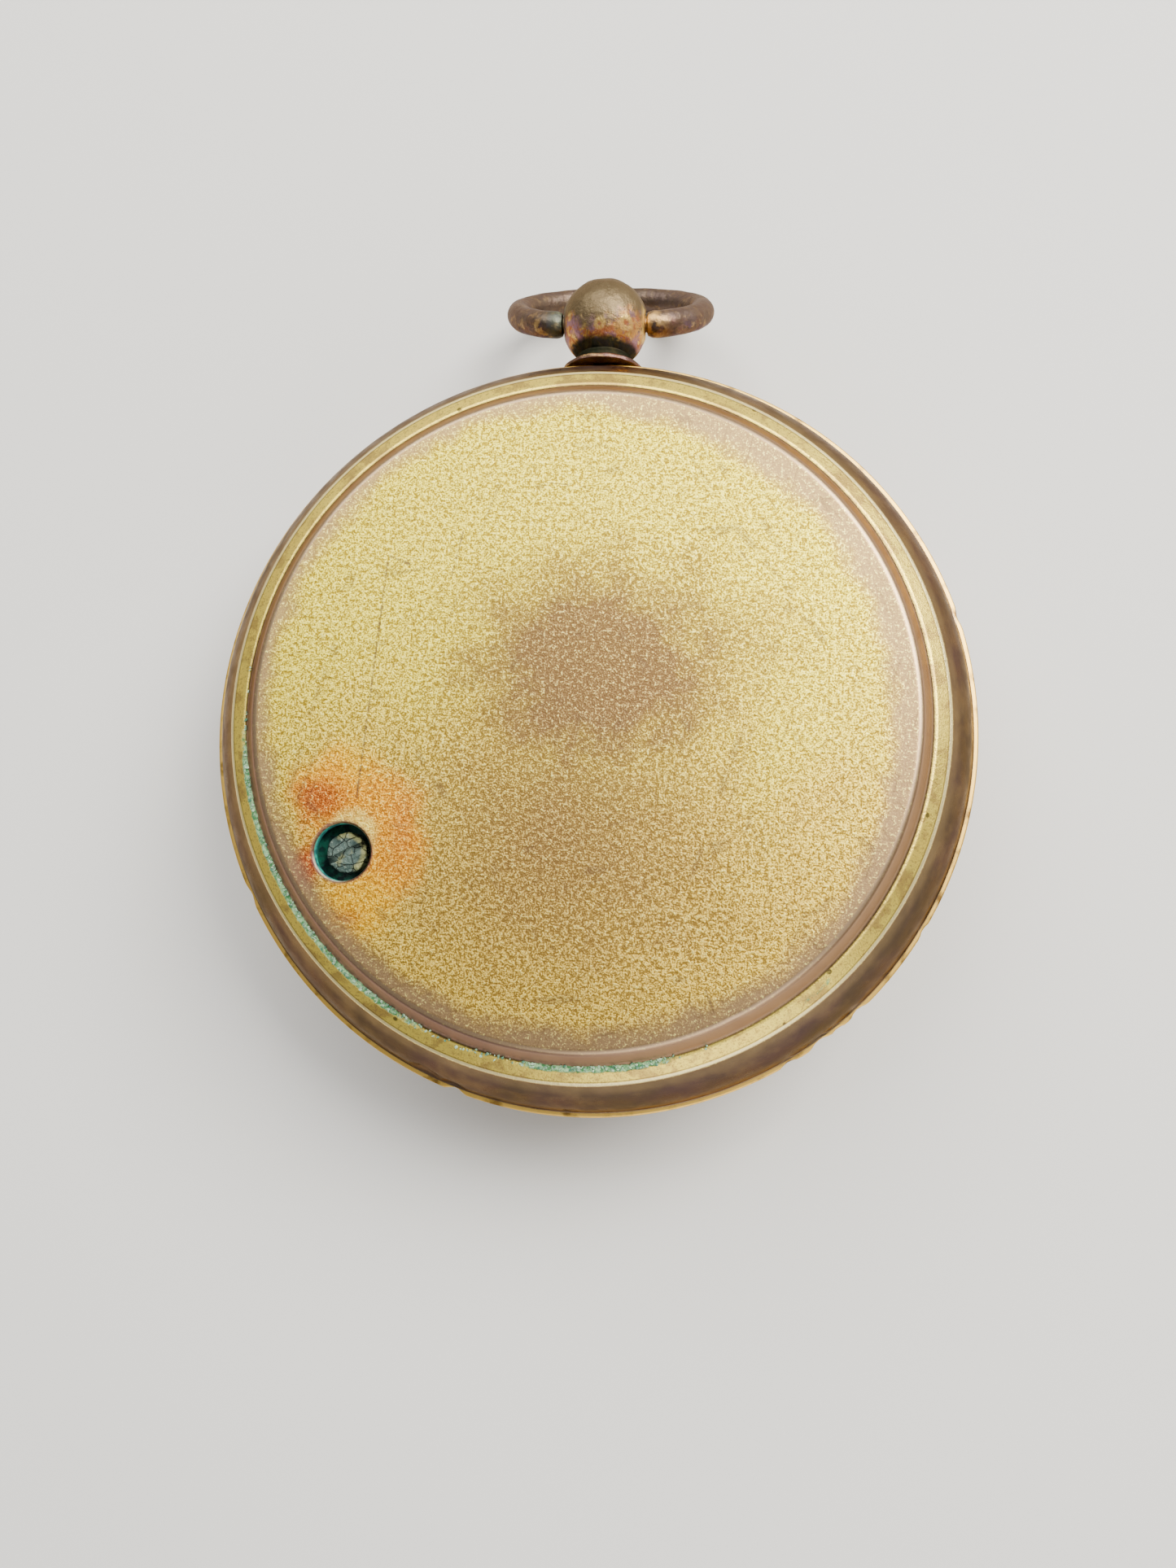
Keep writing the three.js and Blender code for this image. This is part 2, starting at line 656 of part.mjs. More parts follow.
const collar = piece( 'pendant_collar', pendantCollar(), tarnishedGilt, group );
place( collar, 0, 0, pendantDepth );
const ball = piece( 'pendant_ball', pendantBall(), tarnishedGilt, group );
place( ball, 0, ballCentre, pendantDepth );
const nutShape = hexNut( PENDANT_NUT_RADIUS, PENDANT_NUT_THICKNESS, STUB_RADIUS + SCREW_GAP );
const nut = piece( 'pendant_nut', nutShape, brass, group );
nut.rotation.x = Math.PI / 2;
place( nut, 0, bodyBore - PENDANT_NUT_GAP, pendantDepth );
const ringBow = piece( 'bow', bow(), tarnishedGilt, group );
ringBow.rotation.x = - bowDrop;
place( ringBow, 0, ballCentre, pendantDepth );

// ---- Base plate and its screws ---------------------------------------------------------------------

function basePlate() {

	const through = ( radius, x, y ) => drill( radius, plateBack, plateFront, x, y );
	const pillarHoles = PILLAR_ANGLES.map( ( angle ) => through(
		PLATE_SCREW.shank + SCREW_GAP, ...around( pillarReach, angle )
	) );
	return cut(
		rod( plateRadius, plateBack, plateFront, 0, 0, CASE_SEGMENTS ),
		...pillarHoles,
		through( ADJUSTER.shank + PIVOT_GAP, adjusterReach, 0 ),
		through( CAPSULE_STEM + SCREW_GAP, 0, 0 ),
		through( BRIDGE_SCREW.shank + SCREW_GAP, 0, bridgeMiddle ),
		through( BRIDGE_SCREW.shank + SCREW_GAP, 0, - bridgeMiddle ),
		through( TOP_SCREW.shank + SCREW_GAP, 0, topPillarReach ),
		through( TOP_SCREW.shank + SCREW_GAP, 0, - topPillarReach )
	);

}

// A round pillar with a screw hole in each end.
function pillar( back, front, backHole, frontHole ) {

	const depth = SCREW_DEPTH + SCREW_GAP;
	return cut(
		rod( PILLAR_RADIUS, back, front ),
		rod( backHole + SCREW_GAP, back - CUT_PAST, back + depth ),
		rod( frontHole + SCREW_GAP, front - depth, front + CUT_PAST )
	);

}

piece( 'base_plate', basePlate(), brass, movement );

PILLAR_ANGLES.forEach( ( angle, i ) => {

	const [ x, y ] = around( pillarReach, angle );
	const pillarBack = ledgeFront + SNAP_GAP;
	const pillarFront = dialBack - SNAP_GAP;
	const plateScrew = screw( PLATE_SCREW, pillarBack + SCREW_DEPTH - plateBack );
	place( piece( `base_screw_${ i + 1 }`, plateScrew, steel, movement ), x, y, plateBack - HEAD_GAP );
	const post = pillar( pillarBack, pillarFront, PLATE_SCREW.shank, DIAL_SCREW.shank );
	place( piece( `dial_pillar_${ i + 1 }`, post, brass, movement ), x, y, 0 );
	const dialScrew = screw( DIAL_SCREW, dialFront - pillarFront + SCREW_DEPTH ).rotateX( Math.PI );
	place( piece( `dial_screw_${ i + 1 }`, dialScrew, bluedSteel, movement ), x, y, dialFront + HEAD_GAP );

} );

const adjusterSeat = plateBack - ADJUSTER_RISE;
const adjuster = screw( ADJUSTER, bridgeBack - SEAT_GAP - adjusterSeat );
place( piece( 'adjusting_screw', adjuster, rustedSteel, movement ), adjusterReach, 0, adjusterSeat );

// ---- Capsule ---------------------------------------------------------------------------------------

// One corrugated shell of the capsule: an open dish from its boss out to its soldered rim.
function capsuleShell( face, rim ) {

	const inward = Math.sign( rim - face ) * CAPSULE_SHEET;
	const outside = [ [ 0, face ], [ CAPSULE_BOSS, face ] ];
	const span = capsuleRadius - CAPSULE_RIM - CAPSULE_BOSS;
	for ( let i = 1; i < 2 * CAPSULE_WAVES; i ++ ) {

		const radius = CAPSULE_BOSS + span * i / ( 2 * CAPSULE_WAVES );
		const wave = i % 2 === 1 ? CAPSULE_WAVE_DEPTH : CAPSULE_CREST_DEPTH;
		outside.push( [ radius, face + Math.sign( rim - face ) * wave ] );

	}

	const shoulder = capsuleRadius - CAPSULE_RIM;
	const inside = outside.map( ( [ radius, depth ] ) => [ radius, depth + inward ] ).reverse();
	return turned( [
		...outside, [ shoulder, face + inward * 1.2 ], [ shoulder + CAPSULE_SHOULDER, rim - inward ],
		[ capsuleRadius, rim - inward ], [ capsuleRadius, rim ], [ shoulder, rim ], ...inside
	], FINE_SEGMENTS );

}

const capsuleRim = ( capsuleBack + capsuleFront ) / 2;
piece( 'capsule_lower', capsuleShell( capsuleBack, capsuleRim - HEAD_GAP ), nickelSilver, movement );
piece( 'capsule_upper', capsuleShell( capsuleFront, capsuleRim + HEAD_GAP ), nickelSilver, movement );

const nutBack = plateBack - SEAT_GAP / 2 - CAPSULE_NUT_THICKNESS;
const stud = join(
	rod( CAPSULE_BOSS, plateFront + HEAD_GAP, capsuleBack - HEAD_GAP, 0, 0 ),
	rod( CAPSULE_STEM, nutBack - 0.1, plateFront + HEAD_GAP * 2 )
);
piece( 'capsule_stud', stud, brass, movement );
const nutRadius = CAPSULE_BOSS * CAPSULE_NUT_SHARE;
const capsuleNut = hexNut( nutRadius, CAPSULE_NUT_THICKNESS, CAPSULE_STEM + SCREW_GAP );
place( piece( 'capsule_nut', capsuleNut, brass, movement ), 0, 0, plateBack - SEAT_GAP / 2 );

const knifeHole = crossPin( KNIFE_RADIUS + HEAD_GAP, 3 * POST_RADIUS ).translate( 0, 0, - knifeDepth );
const post = cut( rod( POST_RADIUS, capsuleFront + POST_PLAY, postEnd ), knifeHole );
piece( 'capsule_post', post, steel, movement );
const knife = closed( crossPin( KNIFE_RADIUS, KNIFE_LENGTH ) );
place( piece( 'knife_pin', knife, steel, movement ), 0, 0, knifeDepth );

// ---- Bridge and mainspring -------------------------------------------------------------------------

function bridge() {

	const tailEnd = adjusterReach + TAIL_PAST_SCREW;
	const half = TAIL_WIDTH / 2;
	const tail = block( [ bridgeMiddle, - half, bridgeBack ], [ tailEnd, half, bridgeFront ] );
	const through = ( radius, x, y ) => drill( radius, bridgeBack, bridgeFront, x, y );
	return cut(
		join( ring( bridgeInner, bridgeOuter, bridgeBack, bridgeFront, FINE_SEGMENTS ), tail ),
		through( BRIDGE_SCREW.shank + PIVOT_GAP, 0, bridgeMiddle ),
		through( BRIDGE_SCREW.shank + PIVOT_GAP, 0, - bridgeMiddle ),
		through( LEAF_SCREW.shank + SCREW_GAP, - bridgeMiddle, SPRING_SCREW_SPREAD ),
		through( LEAF_SCREW.shank + SCREW_GAP, - bridgeMiddle, - SPRING_SCREW_SPREAD )
	);

}

// The mainspring is one strip bent into a C, clamped to the bridge and reaching over the capsule.
function mainspring() {

	const bendDepth = ( lowerLeafBack + upperLeafFront ) / 2;
	const outer = ( upperLeafFront - lowerLeafBack ) / 2;
	const inner = outer - LEAF_THICKNESS;
	const start = - ( bridgeInner + SPRING_ROOT_LAP );
	const shape = new THREE.Shape();
	shape.moveTo( start, - lowerLeafFront );
	shape.lineTo( start, - lowerLeafBack );
	shape.lineTo( - springBend, - lowerLeafBack );
	shape.absarc( - springBend, - bendDepth, outer, Math.PI / 2, 3 * Math.PI / 2, false );
	shape.lineTo( LEAF_TIP, - upperLeafFront );
	shape.lineTo( LEAF_TIP, - upperLeafBack );
	shape.lineTo( - springBend, - upperLeafBack );
	shape.absarc( - springBend, - bendDepth, inner, 3 * Math.PI / 2, Math.PI / 2, true );
	const strip = new THREE.ExtrudeGeometry( shape, {
		depth: LEAF_WIDTH, bevelEnabled: false, curveSegments: SMALL_SEGMENTS
	} ).rotateX( Math.PI / 2 ).translate( 0, LEAF_WIDTH / 2, 0 );
	const lower = ( side ) => drill( LEAF_SCREW.shank + SCREW_GAP, lowerLeafBack, lowerLeafFront,
		- bridgeMiddle, side * SPRING_SCREW_SPREAD );
	const upper = ( x ) => drill( LEVER_SCREW.shank + 2 * PIVOT_GAP, upperLeafBack, upperLeafFront,
		x, LEVER_OFFSET );
	const holes = [
		drill( LEAF_HOLE, upperLeafBack, upperLeafFront ), ...[ - 1, 1 ].map( lower ),
		...LEVER_SCREWS.map( ( x ) => upper( x ) )
	];
	return cut( strip, ...holes );

}

piece( 'bridge', bridge(), steel, movement );
[ - 1, 1 ].forEach( ( side, i ) => {

	const pivotScrew = screw( BRIDGE_SCREW, bridgeFront + HEAD_GAP - plateBack ).rotateX( Math.PI );
	place( piece( `bridge_pivot_screw_${ i + 1 }`, pivotScrew, steel, movement ),
		0, side * bridgeMiddle, bridgeFront + HEAD_GAP );
	const leafScrew = screw( LEAF_SCREW, lowerLeafFront + HEAD_GAP - bridgeBack ).rotateX( Math.PI );
	place( piece( `spring_screw_${ i + 1 }`, leafScrew, bluedSteel, movement ),
		- bridgeMiddle, side * SPRING_SCREW_SPREAD, lowerLeafFront + HEAD_GAP );

} );
piece( 'mainspring', mainspring(), bluedSteel, movement );

// ---- Main lever, link and rocker -------------------------------------------------------------------

function mainLever() {

	const half = LEVER_WIDTH / 2;
	const bar = block( [ - LEVER_ROOT, LEVER_OFFSET - half, leverBack ],
		[ linkReach + LEVER_PAST_LINK, LEVER_OFFSET + half, leverFront ] );
	const holes = LEVER_SCREWS.map( ( x ) => drill(
		LEVER_SCREW.shank + SCREW_GAP, leverBack, leverFront, x, LEVER_OFFSET
	) );
	return cut( bar, ...holes );

}

// The rocker's arbor lies across the spine; a short arm meets the link and a long arm pulls the chain.
function rocker() {

	const from = - COCK_WIDTH / 2 - POST_BLOCK / 2;
	const to = LEVER_OFFSET + ROCKER_PAST_LEVER;
	const arbor = crossPin( ROCKER_RADIUS, to - from ).translate( 0, ( from + to ) / 2, 0 );
	const half = ARM_WIDTH / 2;
	const short = block( [ - SHORT_ARM - half, LEVER_OFFSET - half, - half ],
		[ 0, LEVER_OFFSET + half, half ] );
	const reach = chainDepth - rockerDepth + half;
	const long = block( [ - half, chainOffset - half, 0 ], [ half, chainOffset + half, reach ] );
	return join( arbor, short, long );

}

function rockerPost( y ) {

	const post = block( [ rockerReach - POST_HALF_LENGTH, y, rockerDepth - POST_PAST_ARBOR ],
		[ rockerReach + POST_HALF_LENGTH, y + POST_BLOCK, topPlateBack - HEAD_GAP ] );
	const hole = crossPin( ROCKER_RADIUS + PIVOT_GAP, 4 * POST_BLOCK )
		.translate( rockerReach, y, - rockerDepth );
	return cut( post, hole );

}

piece( 'main_lever', mainLever(), brass, movement );
LEVER_SCREWS.forEach( ( x, i ) => {

	const leverScrew = screw( LEVER_SCREW, leverFront - upperLeafBack ).rotateX( Math.PI );
	place( piece( `lever_screw_${ i + 1 }`, leverScrew, steel, movement ),
		x, LEVER_OFFSET, leverFront + HEAD_GAP );

} );
const link = rod( LINK_RADIUS, rockerDepth + LINK_TOP_GAP, leverBack - LINK_FOOT_GAP,
	linkReach, LEVER_OFFSET, PIN_SEGMENTS );
piece( 'link', link, steel, movement );
place( piece( 'rocker', rocker(), steel, movement ), rockerReach, 0, rockerDepth );
piece( 'rocker_post_1', rockerPost( - COCK_WIDTH / 2 - POST_BLOCK ), brass, movement );
piece( 'rocker_post_2', rockerPost( LEVER_OFFSET + FAR_POST_PAST_LEVER ), brass, movement );

// ---- Chain, pointer arbor and hairspring -----------------------------------------------------------

const chainEnd = rockerReach - ARM_WIDTH / 2 - CHAIN_ARM_GAP;
const chain = crossPin( CHAIN_RADIUS, chainEnd + CHAIN_PAST_DRUM, CHAIN_SIDES )
	.rotateZ( Math.PI / 2 ).translate( ( chainEnd - CHAIN_PAST_DRUM ) / 2, chainOffset, - chainDepth );
piece( 'chain', closed( chain ), steel, movement );

piece( 'pointer_arbor', turned( [
	[ 0, cockBack ], [ ARBOR_PIVOT, cockBack ], [ ARBOR_PIVOT, cockFront + HEAD_GAP ],
	[ DRUM_RADIUS * DRUM_NECK, cockFront + HEAD_GAP ], [ DRUM_RADIUS * DRUM_NECK, drumBack ],
	[ DRUM_RADIUS, drumBack ],
	[ DRUM_RADIUS, drumFront ], [ ARBOR_RADIUS, drumFront ], [ ARBOR_RADIUS, arborFront ], [ 0, arborFront ]
], SMALL_SEGMENTS ), steel, movement );

// Flat spiral between the arbor and its stud.
class Spiral extends THREE.Curve {

	getPoint( t, target = new THREE.Vector3() ) {

		const angle = 2 * Math.PI * HAIRSPRING_TURNS * t;
		const radius = THREE.MathUtils.lerp( HAIRSPRING_INNER, HAIRSPRING_OUTER, t );
		return target.set( radius * Math.cos( angle ), radius * Math.sin( angle ), 0 );

	}

}

function hairspring() {

	const [ tall, wide ] = [ HAIRSPRING_HEIGHT / 2, HAIRSPRING_WALL / 2 ];
	const outline = [ [ - 1, - 1 ], [ 1, - 1 ], [ 1, 1 ], [ - 1, 1 ] ]
		.map( ( [ a, b ] ) => new THREE.Vector2( a * tall, b * wide ) );
	return closed( new THREE.ExtrudeGeometry( new THREE.Shape( outline ), {
		steps: HAIRSPRING_STEPS, extrudePath: new Spiral()
	} ) );

}

const spiral = piece( 'hairspring', hairspring(), bluedSteel, movement );
place( spiral, 0, 0, ( hairspringBack + hairspringFront ) / 2 );
const springStud = rod( STUD_RADIUS, hairspringBack, topPlateBack - HEAD_GAP,
	- studReach, STUD_OFFSET, PIN_SEGMENTS );
piece( 'hairspring_stud', springStud, brass, movement );

// ---- Top plate, cock and pillars -------------------------------------------------------------------

function topPlate() {

	const end = topPillarReach + TOP_PLATE_MARGIN;
	const strip = block( [ - TOP_PLATE_WIDTH / 2, - end, topPlateBack ],
		[ TOP_PLATE_WIDTH / 2, end, topPlateFront ] );
	const arm = block( [ 0, - COCK_WIDTH / 2 - TOP_ARM_MARGIN, topPlateBack ],
		[ rockerReach + TOP_ARM_MARGIN, LEVER_OFFSET + TOP_ARM_PAST_LEVER, topPlateFront ] );
	const through = ( radius, y ) => drill( radius, topPlateBack, topPlateFront, 0, y );
	return cut(
		join( strip, arm, rod( TOP_PLATE_HUB, topPlateBack, topPlateFront, 0, 0, FINE_SEGMENTS ) ),
		through( ARBOR_RADIUS + PIVOT_GAP, 0 ),
		through( TOP_SCREW.shank + SCREW_GAP, topPillarReach ),
		through( TOP_SCREW.shank + SCREW_GAP, - topPillarReach )
	);

}

// The cock hangs from the top plate and holds the arbor's lower pivot.
function lowerCock() {

	const half = COCK_WIDTH / 2;
	const leg = block( [ - cockReach, - half, cockBack ],
		[ - cockReach + COCK_LEG, half, topPlateBack - HEAD_GAP ] );
	const foot = block( [ - cockReach, - half, cockBack ], [ COCK_PAST_ARBOR, half, cockFront ] );
	return cut( join( leg, foot ), drill( ARBOR_PIVOT + PIVOT_GAP, cockBack, cockFront ) );

}

piece( 'top_plate', topPlate(), brass, movement );
piece( 'lower_cock', lowerCock(), brass, movement );
[ - 1, 1 ].forEach( ( side, i ) => {

	const back = plateFront + SNAP_GAP;
	const front = topPlateBack - SNAP_GAP;
	const topPillar = pillar( back, front, TOP_SCREW.shank, TOP_SCREW.shank );
	place( piece( `top_pillar_${ i + 1 }`, topPillar, brass, movement ), 0, side * topPillarReach, 0 );
	const topScrew = screw( TOP_SCREW, topPlateFront - front + SCREW_DEPTH ).rotateX( Math.PI );
	place( piece( `top_screw_${ i + 1 }`, topScrew, bluedSteel, movement ),
		0, side * topPillarReach, topPlateFront + HEAD_GAP );
	const footScrew = screw( TOP_SCREW, plateFront - plateBack + SCREW_DEPTH );
	place( piece( `pillar_foot_screw_${ i + 1 }`, footScrew, steel, movement ),
		0, side * topPillarReach, plateBack - HEAD_GAP );

} );

// ---- Dial and pointer ------------------------------------------------------------------------------

function dial() {

	const disc = ring( DIAL_HOLE, dialRadius, dialBack, dialFront );
	const holes = PILLAR_ANGLES.map( ( angle ) => drill(
		DIAL_SCREW.shank + SCREW_GAP, dialBack, dialFront, ...around( pillarReach, angle + SPINE_ANGLE )
	) );
	return cut( disc, ...holes );

}

// A lance-shaped hand with a round hub.
function pointer() {

	const half = POINTER_WIDTH / 2;
	const [ start, widest ] = POINTER_BLADE.map( ( share ) => share * pointerReach );
	const shape = new THREE.Shape( [
		[ - POINTER_TAIL, - half * 1.6 ], [ - POINTER_TAIL + 1.2, - half ], [ start, - half ],
		[ widest, - 2.2 * half ], [ pointerReach, 0 ], [ widest, 2.2 * half ],
		[ start, half ], [ - POINTER_TAIL + 1.2, half ], [ - POINTER_TAIL, half * 1.6 ]
	].map( ( [ x, y ] ) => new THREE.Vector2( x, y ) ) );
	const hand = new THREE.ExtrudeGeometry( shape, { depth: POINTER_THICKNESS, bevelEnabled: false } )
		.translate( 0, 0, - pointerFront );
	const hub = rod( POINTER_HUB, pointerBack - 0.1, pointerFront + 0.15, 0, 0, FINE_SEGMENTS );
	return cut( join( hand, hub ), drill( ARBOR_RADIUS + HEAD_GAP, pointerBack, pointerFront ) );

}

piece( 'dial', dial(), enamel, group );
piece( 'pointer', pointer(), bluedSteel, group ).rotation.z = POINTER_REST;

export default group;
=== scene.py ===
"""Looks of a watch-form pocket aneroid barometer lying on its front.

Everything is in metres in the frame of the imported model: the origin is the centre of the flat back, +Z
points out of the back and +Y towards the pendant. Section drawings are in millimetres of radius and of
depth below the back face.
"""

from __future__ import annotations

import json
import logging
import math
from collections.abc import Iterable, Sequence
from dataclasses import dataclass, field
from enum import Enum
from functools import partialmethod

import bmesh
import bpy
from mathutils import Matrix, Vector, noise


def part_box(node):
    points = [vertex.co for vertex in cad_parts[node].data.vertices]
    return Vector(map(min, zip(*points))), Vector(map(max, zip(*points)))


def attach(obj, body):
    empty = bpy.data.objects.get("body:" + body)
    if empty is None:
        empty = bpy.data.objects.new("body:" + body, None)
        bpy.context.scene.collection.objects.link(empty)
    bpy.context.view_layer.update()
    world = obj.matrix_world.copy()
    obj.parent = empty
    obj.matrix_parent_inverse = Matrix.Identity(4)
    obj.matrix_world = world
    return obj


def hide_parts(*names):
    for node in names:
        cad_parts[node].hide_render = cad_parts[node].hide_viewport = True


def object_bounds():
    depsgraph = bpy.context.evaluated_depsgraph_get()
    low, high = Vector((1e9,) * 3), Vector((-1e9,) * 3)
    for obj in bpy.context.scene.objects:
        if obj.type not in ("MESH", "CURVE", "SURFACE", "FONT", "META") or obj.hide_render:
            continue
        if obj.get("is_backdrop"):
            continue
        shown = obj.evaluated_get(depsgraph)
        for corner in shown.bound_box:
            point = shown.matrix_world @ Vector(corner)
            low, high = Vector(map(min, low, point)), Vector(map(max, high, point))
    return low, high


MM = 0.001
LOG = logging.getLogger("pocket_barometer")

Colour = tuple[float, float, float]
Socket = bpy.types.NodeSocket
Sockets = dict[str, bpy.types.NodeSocket]
Value = "Socket | float | Sequence[float]"
Point = tuple[float, float, float]
Section = list[tuple[float, float]]

FIELD_EDGE = 20.45  # radius of the frosted field, in millimetres
STEP_FOOT = 21.3  # radius at the foot of the step round it
BAND_EDGE = 22.5  # radius of the band outside the step
HOLE_RADIUS = 1.75
HOLE_CENTRE: Point = (-14.25, -8.97, 0.0)
ANY_DEPTH = 9.0  # a stain's reach through the sheet, more than the case is deep
SEAT = 0.05  # air between case pieces that fit together
QUARTER = math.pi / 2

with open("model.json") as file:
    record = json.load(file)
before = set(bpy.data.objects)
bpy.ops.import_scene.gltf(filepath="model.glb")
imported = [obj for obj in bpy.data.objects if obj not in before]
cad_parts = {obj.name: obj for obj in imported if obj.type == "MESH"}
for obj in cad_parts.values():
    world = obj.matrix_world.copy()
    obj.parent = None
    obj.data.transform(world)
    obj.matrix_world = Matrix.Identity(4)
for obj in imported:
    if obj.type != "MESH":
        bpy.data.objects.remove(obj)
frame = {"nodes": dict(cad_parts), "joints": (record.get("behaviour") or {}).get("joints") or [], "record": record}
CAD_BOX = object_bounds()


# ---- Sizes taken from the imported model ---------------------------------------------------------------


def corners_mm(node: str) -> tuple[Vector, Vector]:
    """Returns the lowest and highest corner of a CAD node in millimetres."""
    low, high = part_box(node)
    return Vector(low) / MM, Vector(high) / MM


def centre_mm(node: str) -> Vector:
    """Returns the middle of a CAD node's box in millimetres."""
    low, high = corners_mm(node)
    return (low + high) / 2


def depths_mm(node: str) -> tuple[float, float]:
    """Returns how deep the back and the front of a CAD node lie, in millimetres."""
    low, high = corners_mm(node)
    return -high.z, -low.z


def radius_mm(node: str) -> float:
    """Returns the largest radius of a CAD node that is round about the case axis."""
    return corners_mm(node)[1].x


def joint_point(name: str) -> Vector:
    """Returns the point that a named joint turns about, in millimetres."""
    joint = next(item for item in frame["joints"] if item["name"] == name)
    return Vector(joint["pos_m"]) / MM


def at(x: float, y: float, z: float = 0.0) -> Matrix:
    """Returns the move to a point given in millimetres."""
    return Matrix.Translation(Vector((x, y, z)) * MM)


def outward(height: float) -> Matrix:
    """Returns the turn that lays a turned section along +Y at a height in millimetres."""
    return at(0.0, 0.0, height) @ Matrix.Rotation(QUARTER, 4, "X")


# ---- Shader graphs -----------------------------------------------------------------------------------


class Graph:
    """Adds nodes to one shader tree and wires them."""

    def __init__(self, tree: bpy.types.NodeTree) -> None:
        """Args: tree: the material's or group's node tree."""
        self.tree = tree

    def put(self, kind: str, **settings: object) -> bpy.types.Node:
        """Adds a node.

        Args:
            kind: the node's Blender type name.
            settings: properties of the node itself.

        Returns:
            The new node.
        """
        node = self.tree.nodes.new(kind)
        for key, value in settings.items():
            setattr(node, key, value)
        return node

    def feed(self, socket: Socket, value: Value) -> None:
        """Links a socket to another socket, or sets it to a constant."""
        if isinstance(value, Socket):
            self.tree.links.new(value, socket)
        elif isinstance(value, (int, float)):
            socket.default_value = value
        else:
            wanted = len(socket.default_value)
            socket.default_value = tuple(value) + (1.0,) * (wanted - len(value))

    def math(self, operation: str, *values: Value, clamp: bool = False) -> Socket:
        """Returns the result of one arithmetic node on the given values."""
        node = self.put("ShaderNodeMath", operation=operation, use_clamp=clamp)
        for socket, value in zip(node.inputs, values):
            self.feed(socket, value)
        return node.outputs[0]

    times = partialmethod(math, "MULTIPLY")
    plus = partialmethod(math, "ADD")
    minus = partialmethod(math, "SUBTRACT")
    most = partialmethod(math, "MAXIMUM")

    def vector(self, operation: str, *values: Value, out: str = "Vector") -> Socket:
        """Returns the named output of one vector node on the given values."""
        node = self.put("ShaderNodeVectorMath", operation=operation)
        for socket, value in zip(node.inputs, values):
            self.feed(socket, value)
        return node.outputs[out]

    def flat(self, vector: Value) -> Socket:
        """Returns a vector laid down on the XY plane."""
        return self.vector("MULTIPLY", vector, (1.0, 1.0, 0.0))

    def length(self, vector: Value) -> Socket:
        """Returns a vector's length."""
        return self.vector("LENGTH", vector, out="Value")

    def step(self, value: Value, start: Value, end: Value, low: Value = 0.0,
             high: Value = 1.0) -> Socket:
        """Returns a smooth step from low at start to high at end."""
        node = self.put("ShaderNodeMapRange", interpolation_type="SMOOTHSTEP")
        names = ("Value", "From Min", "From Max", "To Min", "To Max")
        for name, item in zip(names, (value, start, end, low, high)):
            self.feed(node.inputs[name], item)
        return node.outputs["Result"]

    def mix(self, factor: Value, first: Value, second: Value, blend: str = "MIX") -> Socket:
        """Returns two colours mixed by a factor."""
        node = self.put("ShaderNodeMix", data_type="RGBA", blend_type=blend)
        self.feed(node.inputs[0], factor)
        self.feed(node.inputs[6], first)
        self.feed(node.inputs[7], second)
        return node.outputs[2]

    def stain(self, colour: Value, mask: Value, strength: float, tint: Value) -> Socket:
        """Returns a colour that is partly tinted where a mask is high."""
        return self.mix(self.times(mask, strength), colour, tint)

    def blend(self, factor: Value, first: Value, second: Value) -> Socket:
        """Returns two numbers mixed by a factor."""
        node = self.put("ShaderNodeMix", data_type="FLOAT")
        self.feed(node.inputs[0], factor)
        self.feed(node.inputs[2], first)
        self.feed(node.inputs[3], second)
        return node.outputs[0]

    def noise(self, vector: Value, scale: Value, detail: float = 2.0, rough: float = 0.5,
              twist: float = 0.0) -> Socket:
        """Returns a fractal noise value from 0 to 1; scale is in cycles for each unit of the vector."""
        node = self.put("ShaderNodeTexNoise")
        for name, item in (("Vector", vector), ("Scale", scale), ("Detail", detail), ("Roughness", rough),
                           ("Distortion", twist)):
            self.feed(node.inputs[name], item)
        return node.outputs["Fac"]

    def sway(self, *settings: Value) -> Socket:
        """Returns a noise that swings about zero; its settings are those of noise()."""
        return self.minus(self.noise(*settings), 0.5)

    def cells(self, vector: Value, scale: Value, out: str = "Distance", feature: str = "F1") -> Socket:
        """Returns a cell pattern's named output."""
        node = self.put("ShaderNodeTexVoronoi", feature=feature)
        self.feed(node.inputs["Vector"], vector)
        self.feed(node.inputs["Scale"], scale)
        return node.outputs[out]

    def part(self, vector: Value) -> tuple[Socket, ...]:
        """Returns a vector's three numbers."""
        node = self.put("ShaderNodeSeparateXYZ")
        self.feed(node.inputs[0], vector)
        return tuple(node.outputs)

    def joined(self, x: Value, y: Value, z: Value) -> Socket:
        """Returns a vector of three numbers."""
        node = self.put("ShaderNodeCombineXYZ")
        for socket, value in zip(node.inputs, (x, y, z)):
            self.feed(socket, value)
        return node.outputs[0]

    def use(self, effect: type[Effect], **values: Value) -> Sockets:
        """Places a shared effect.

        Args:
            effect: the effect's class.
            values: the group's inputs by name.

        Returns:
            The group's outputs by name.
        """
        node = self.put("ShaderNodeGroup", node_tree=effect.tree())
        for name, value in values.items():
            self.feed(node.inputs[name], value)
        return {socket.name: socket for socket in node.outputs}

    def mask(self, effect: type[Effect], here: Socket, **values: Value) -> Socket:
        """Returns the mask of a shared effect at a point on the piece, in millimetres."""
        return self.use(effect, Vector=here, **values)["Mask"]


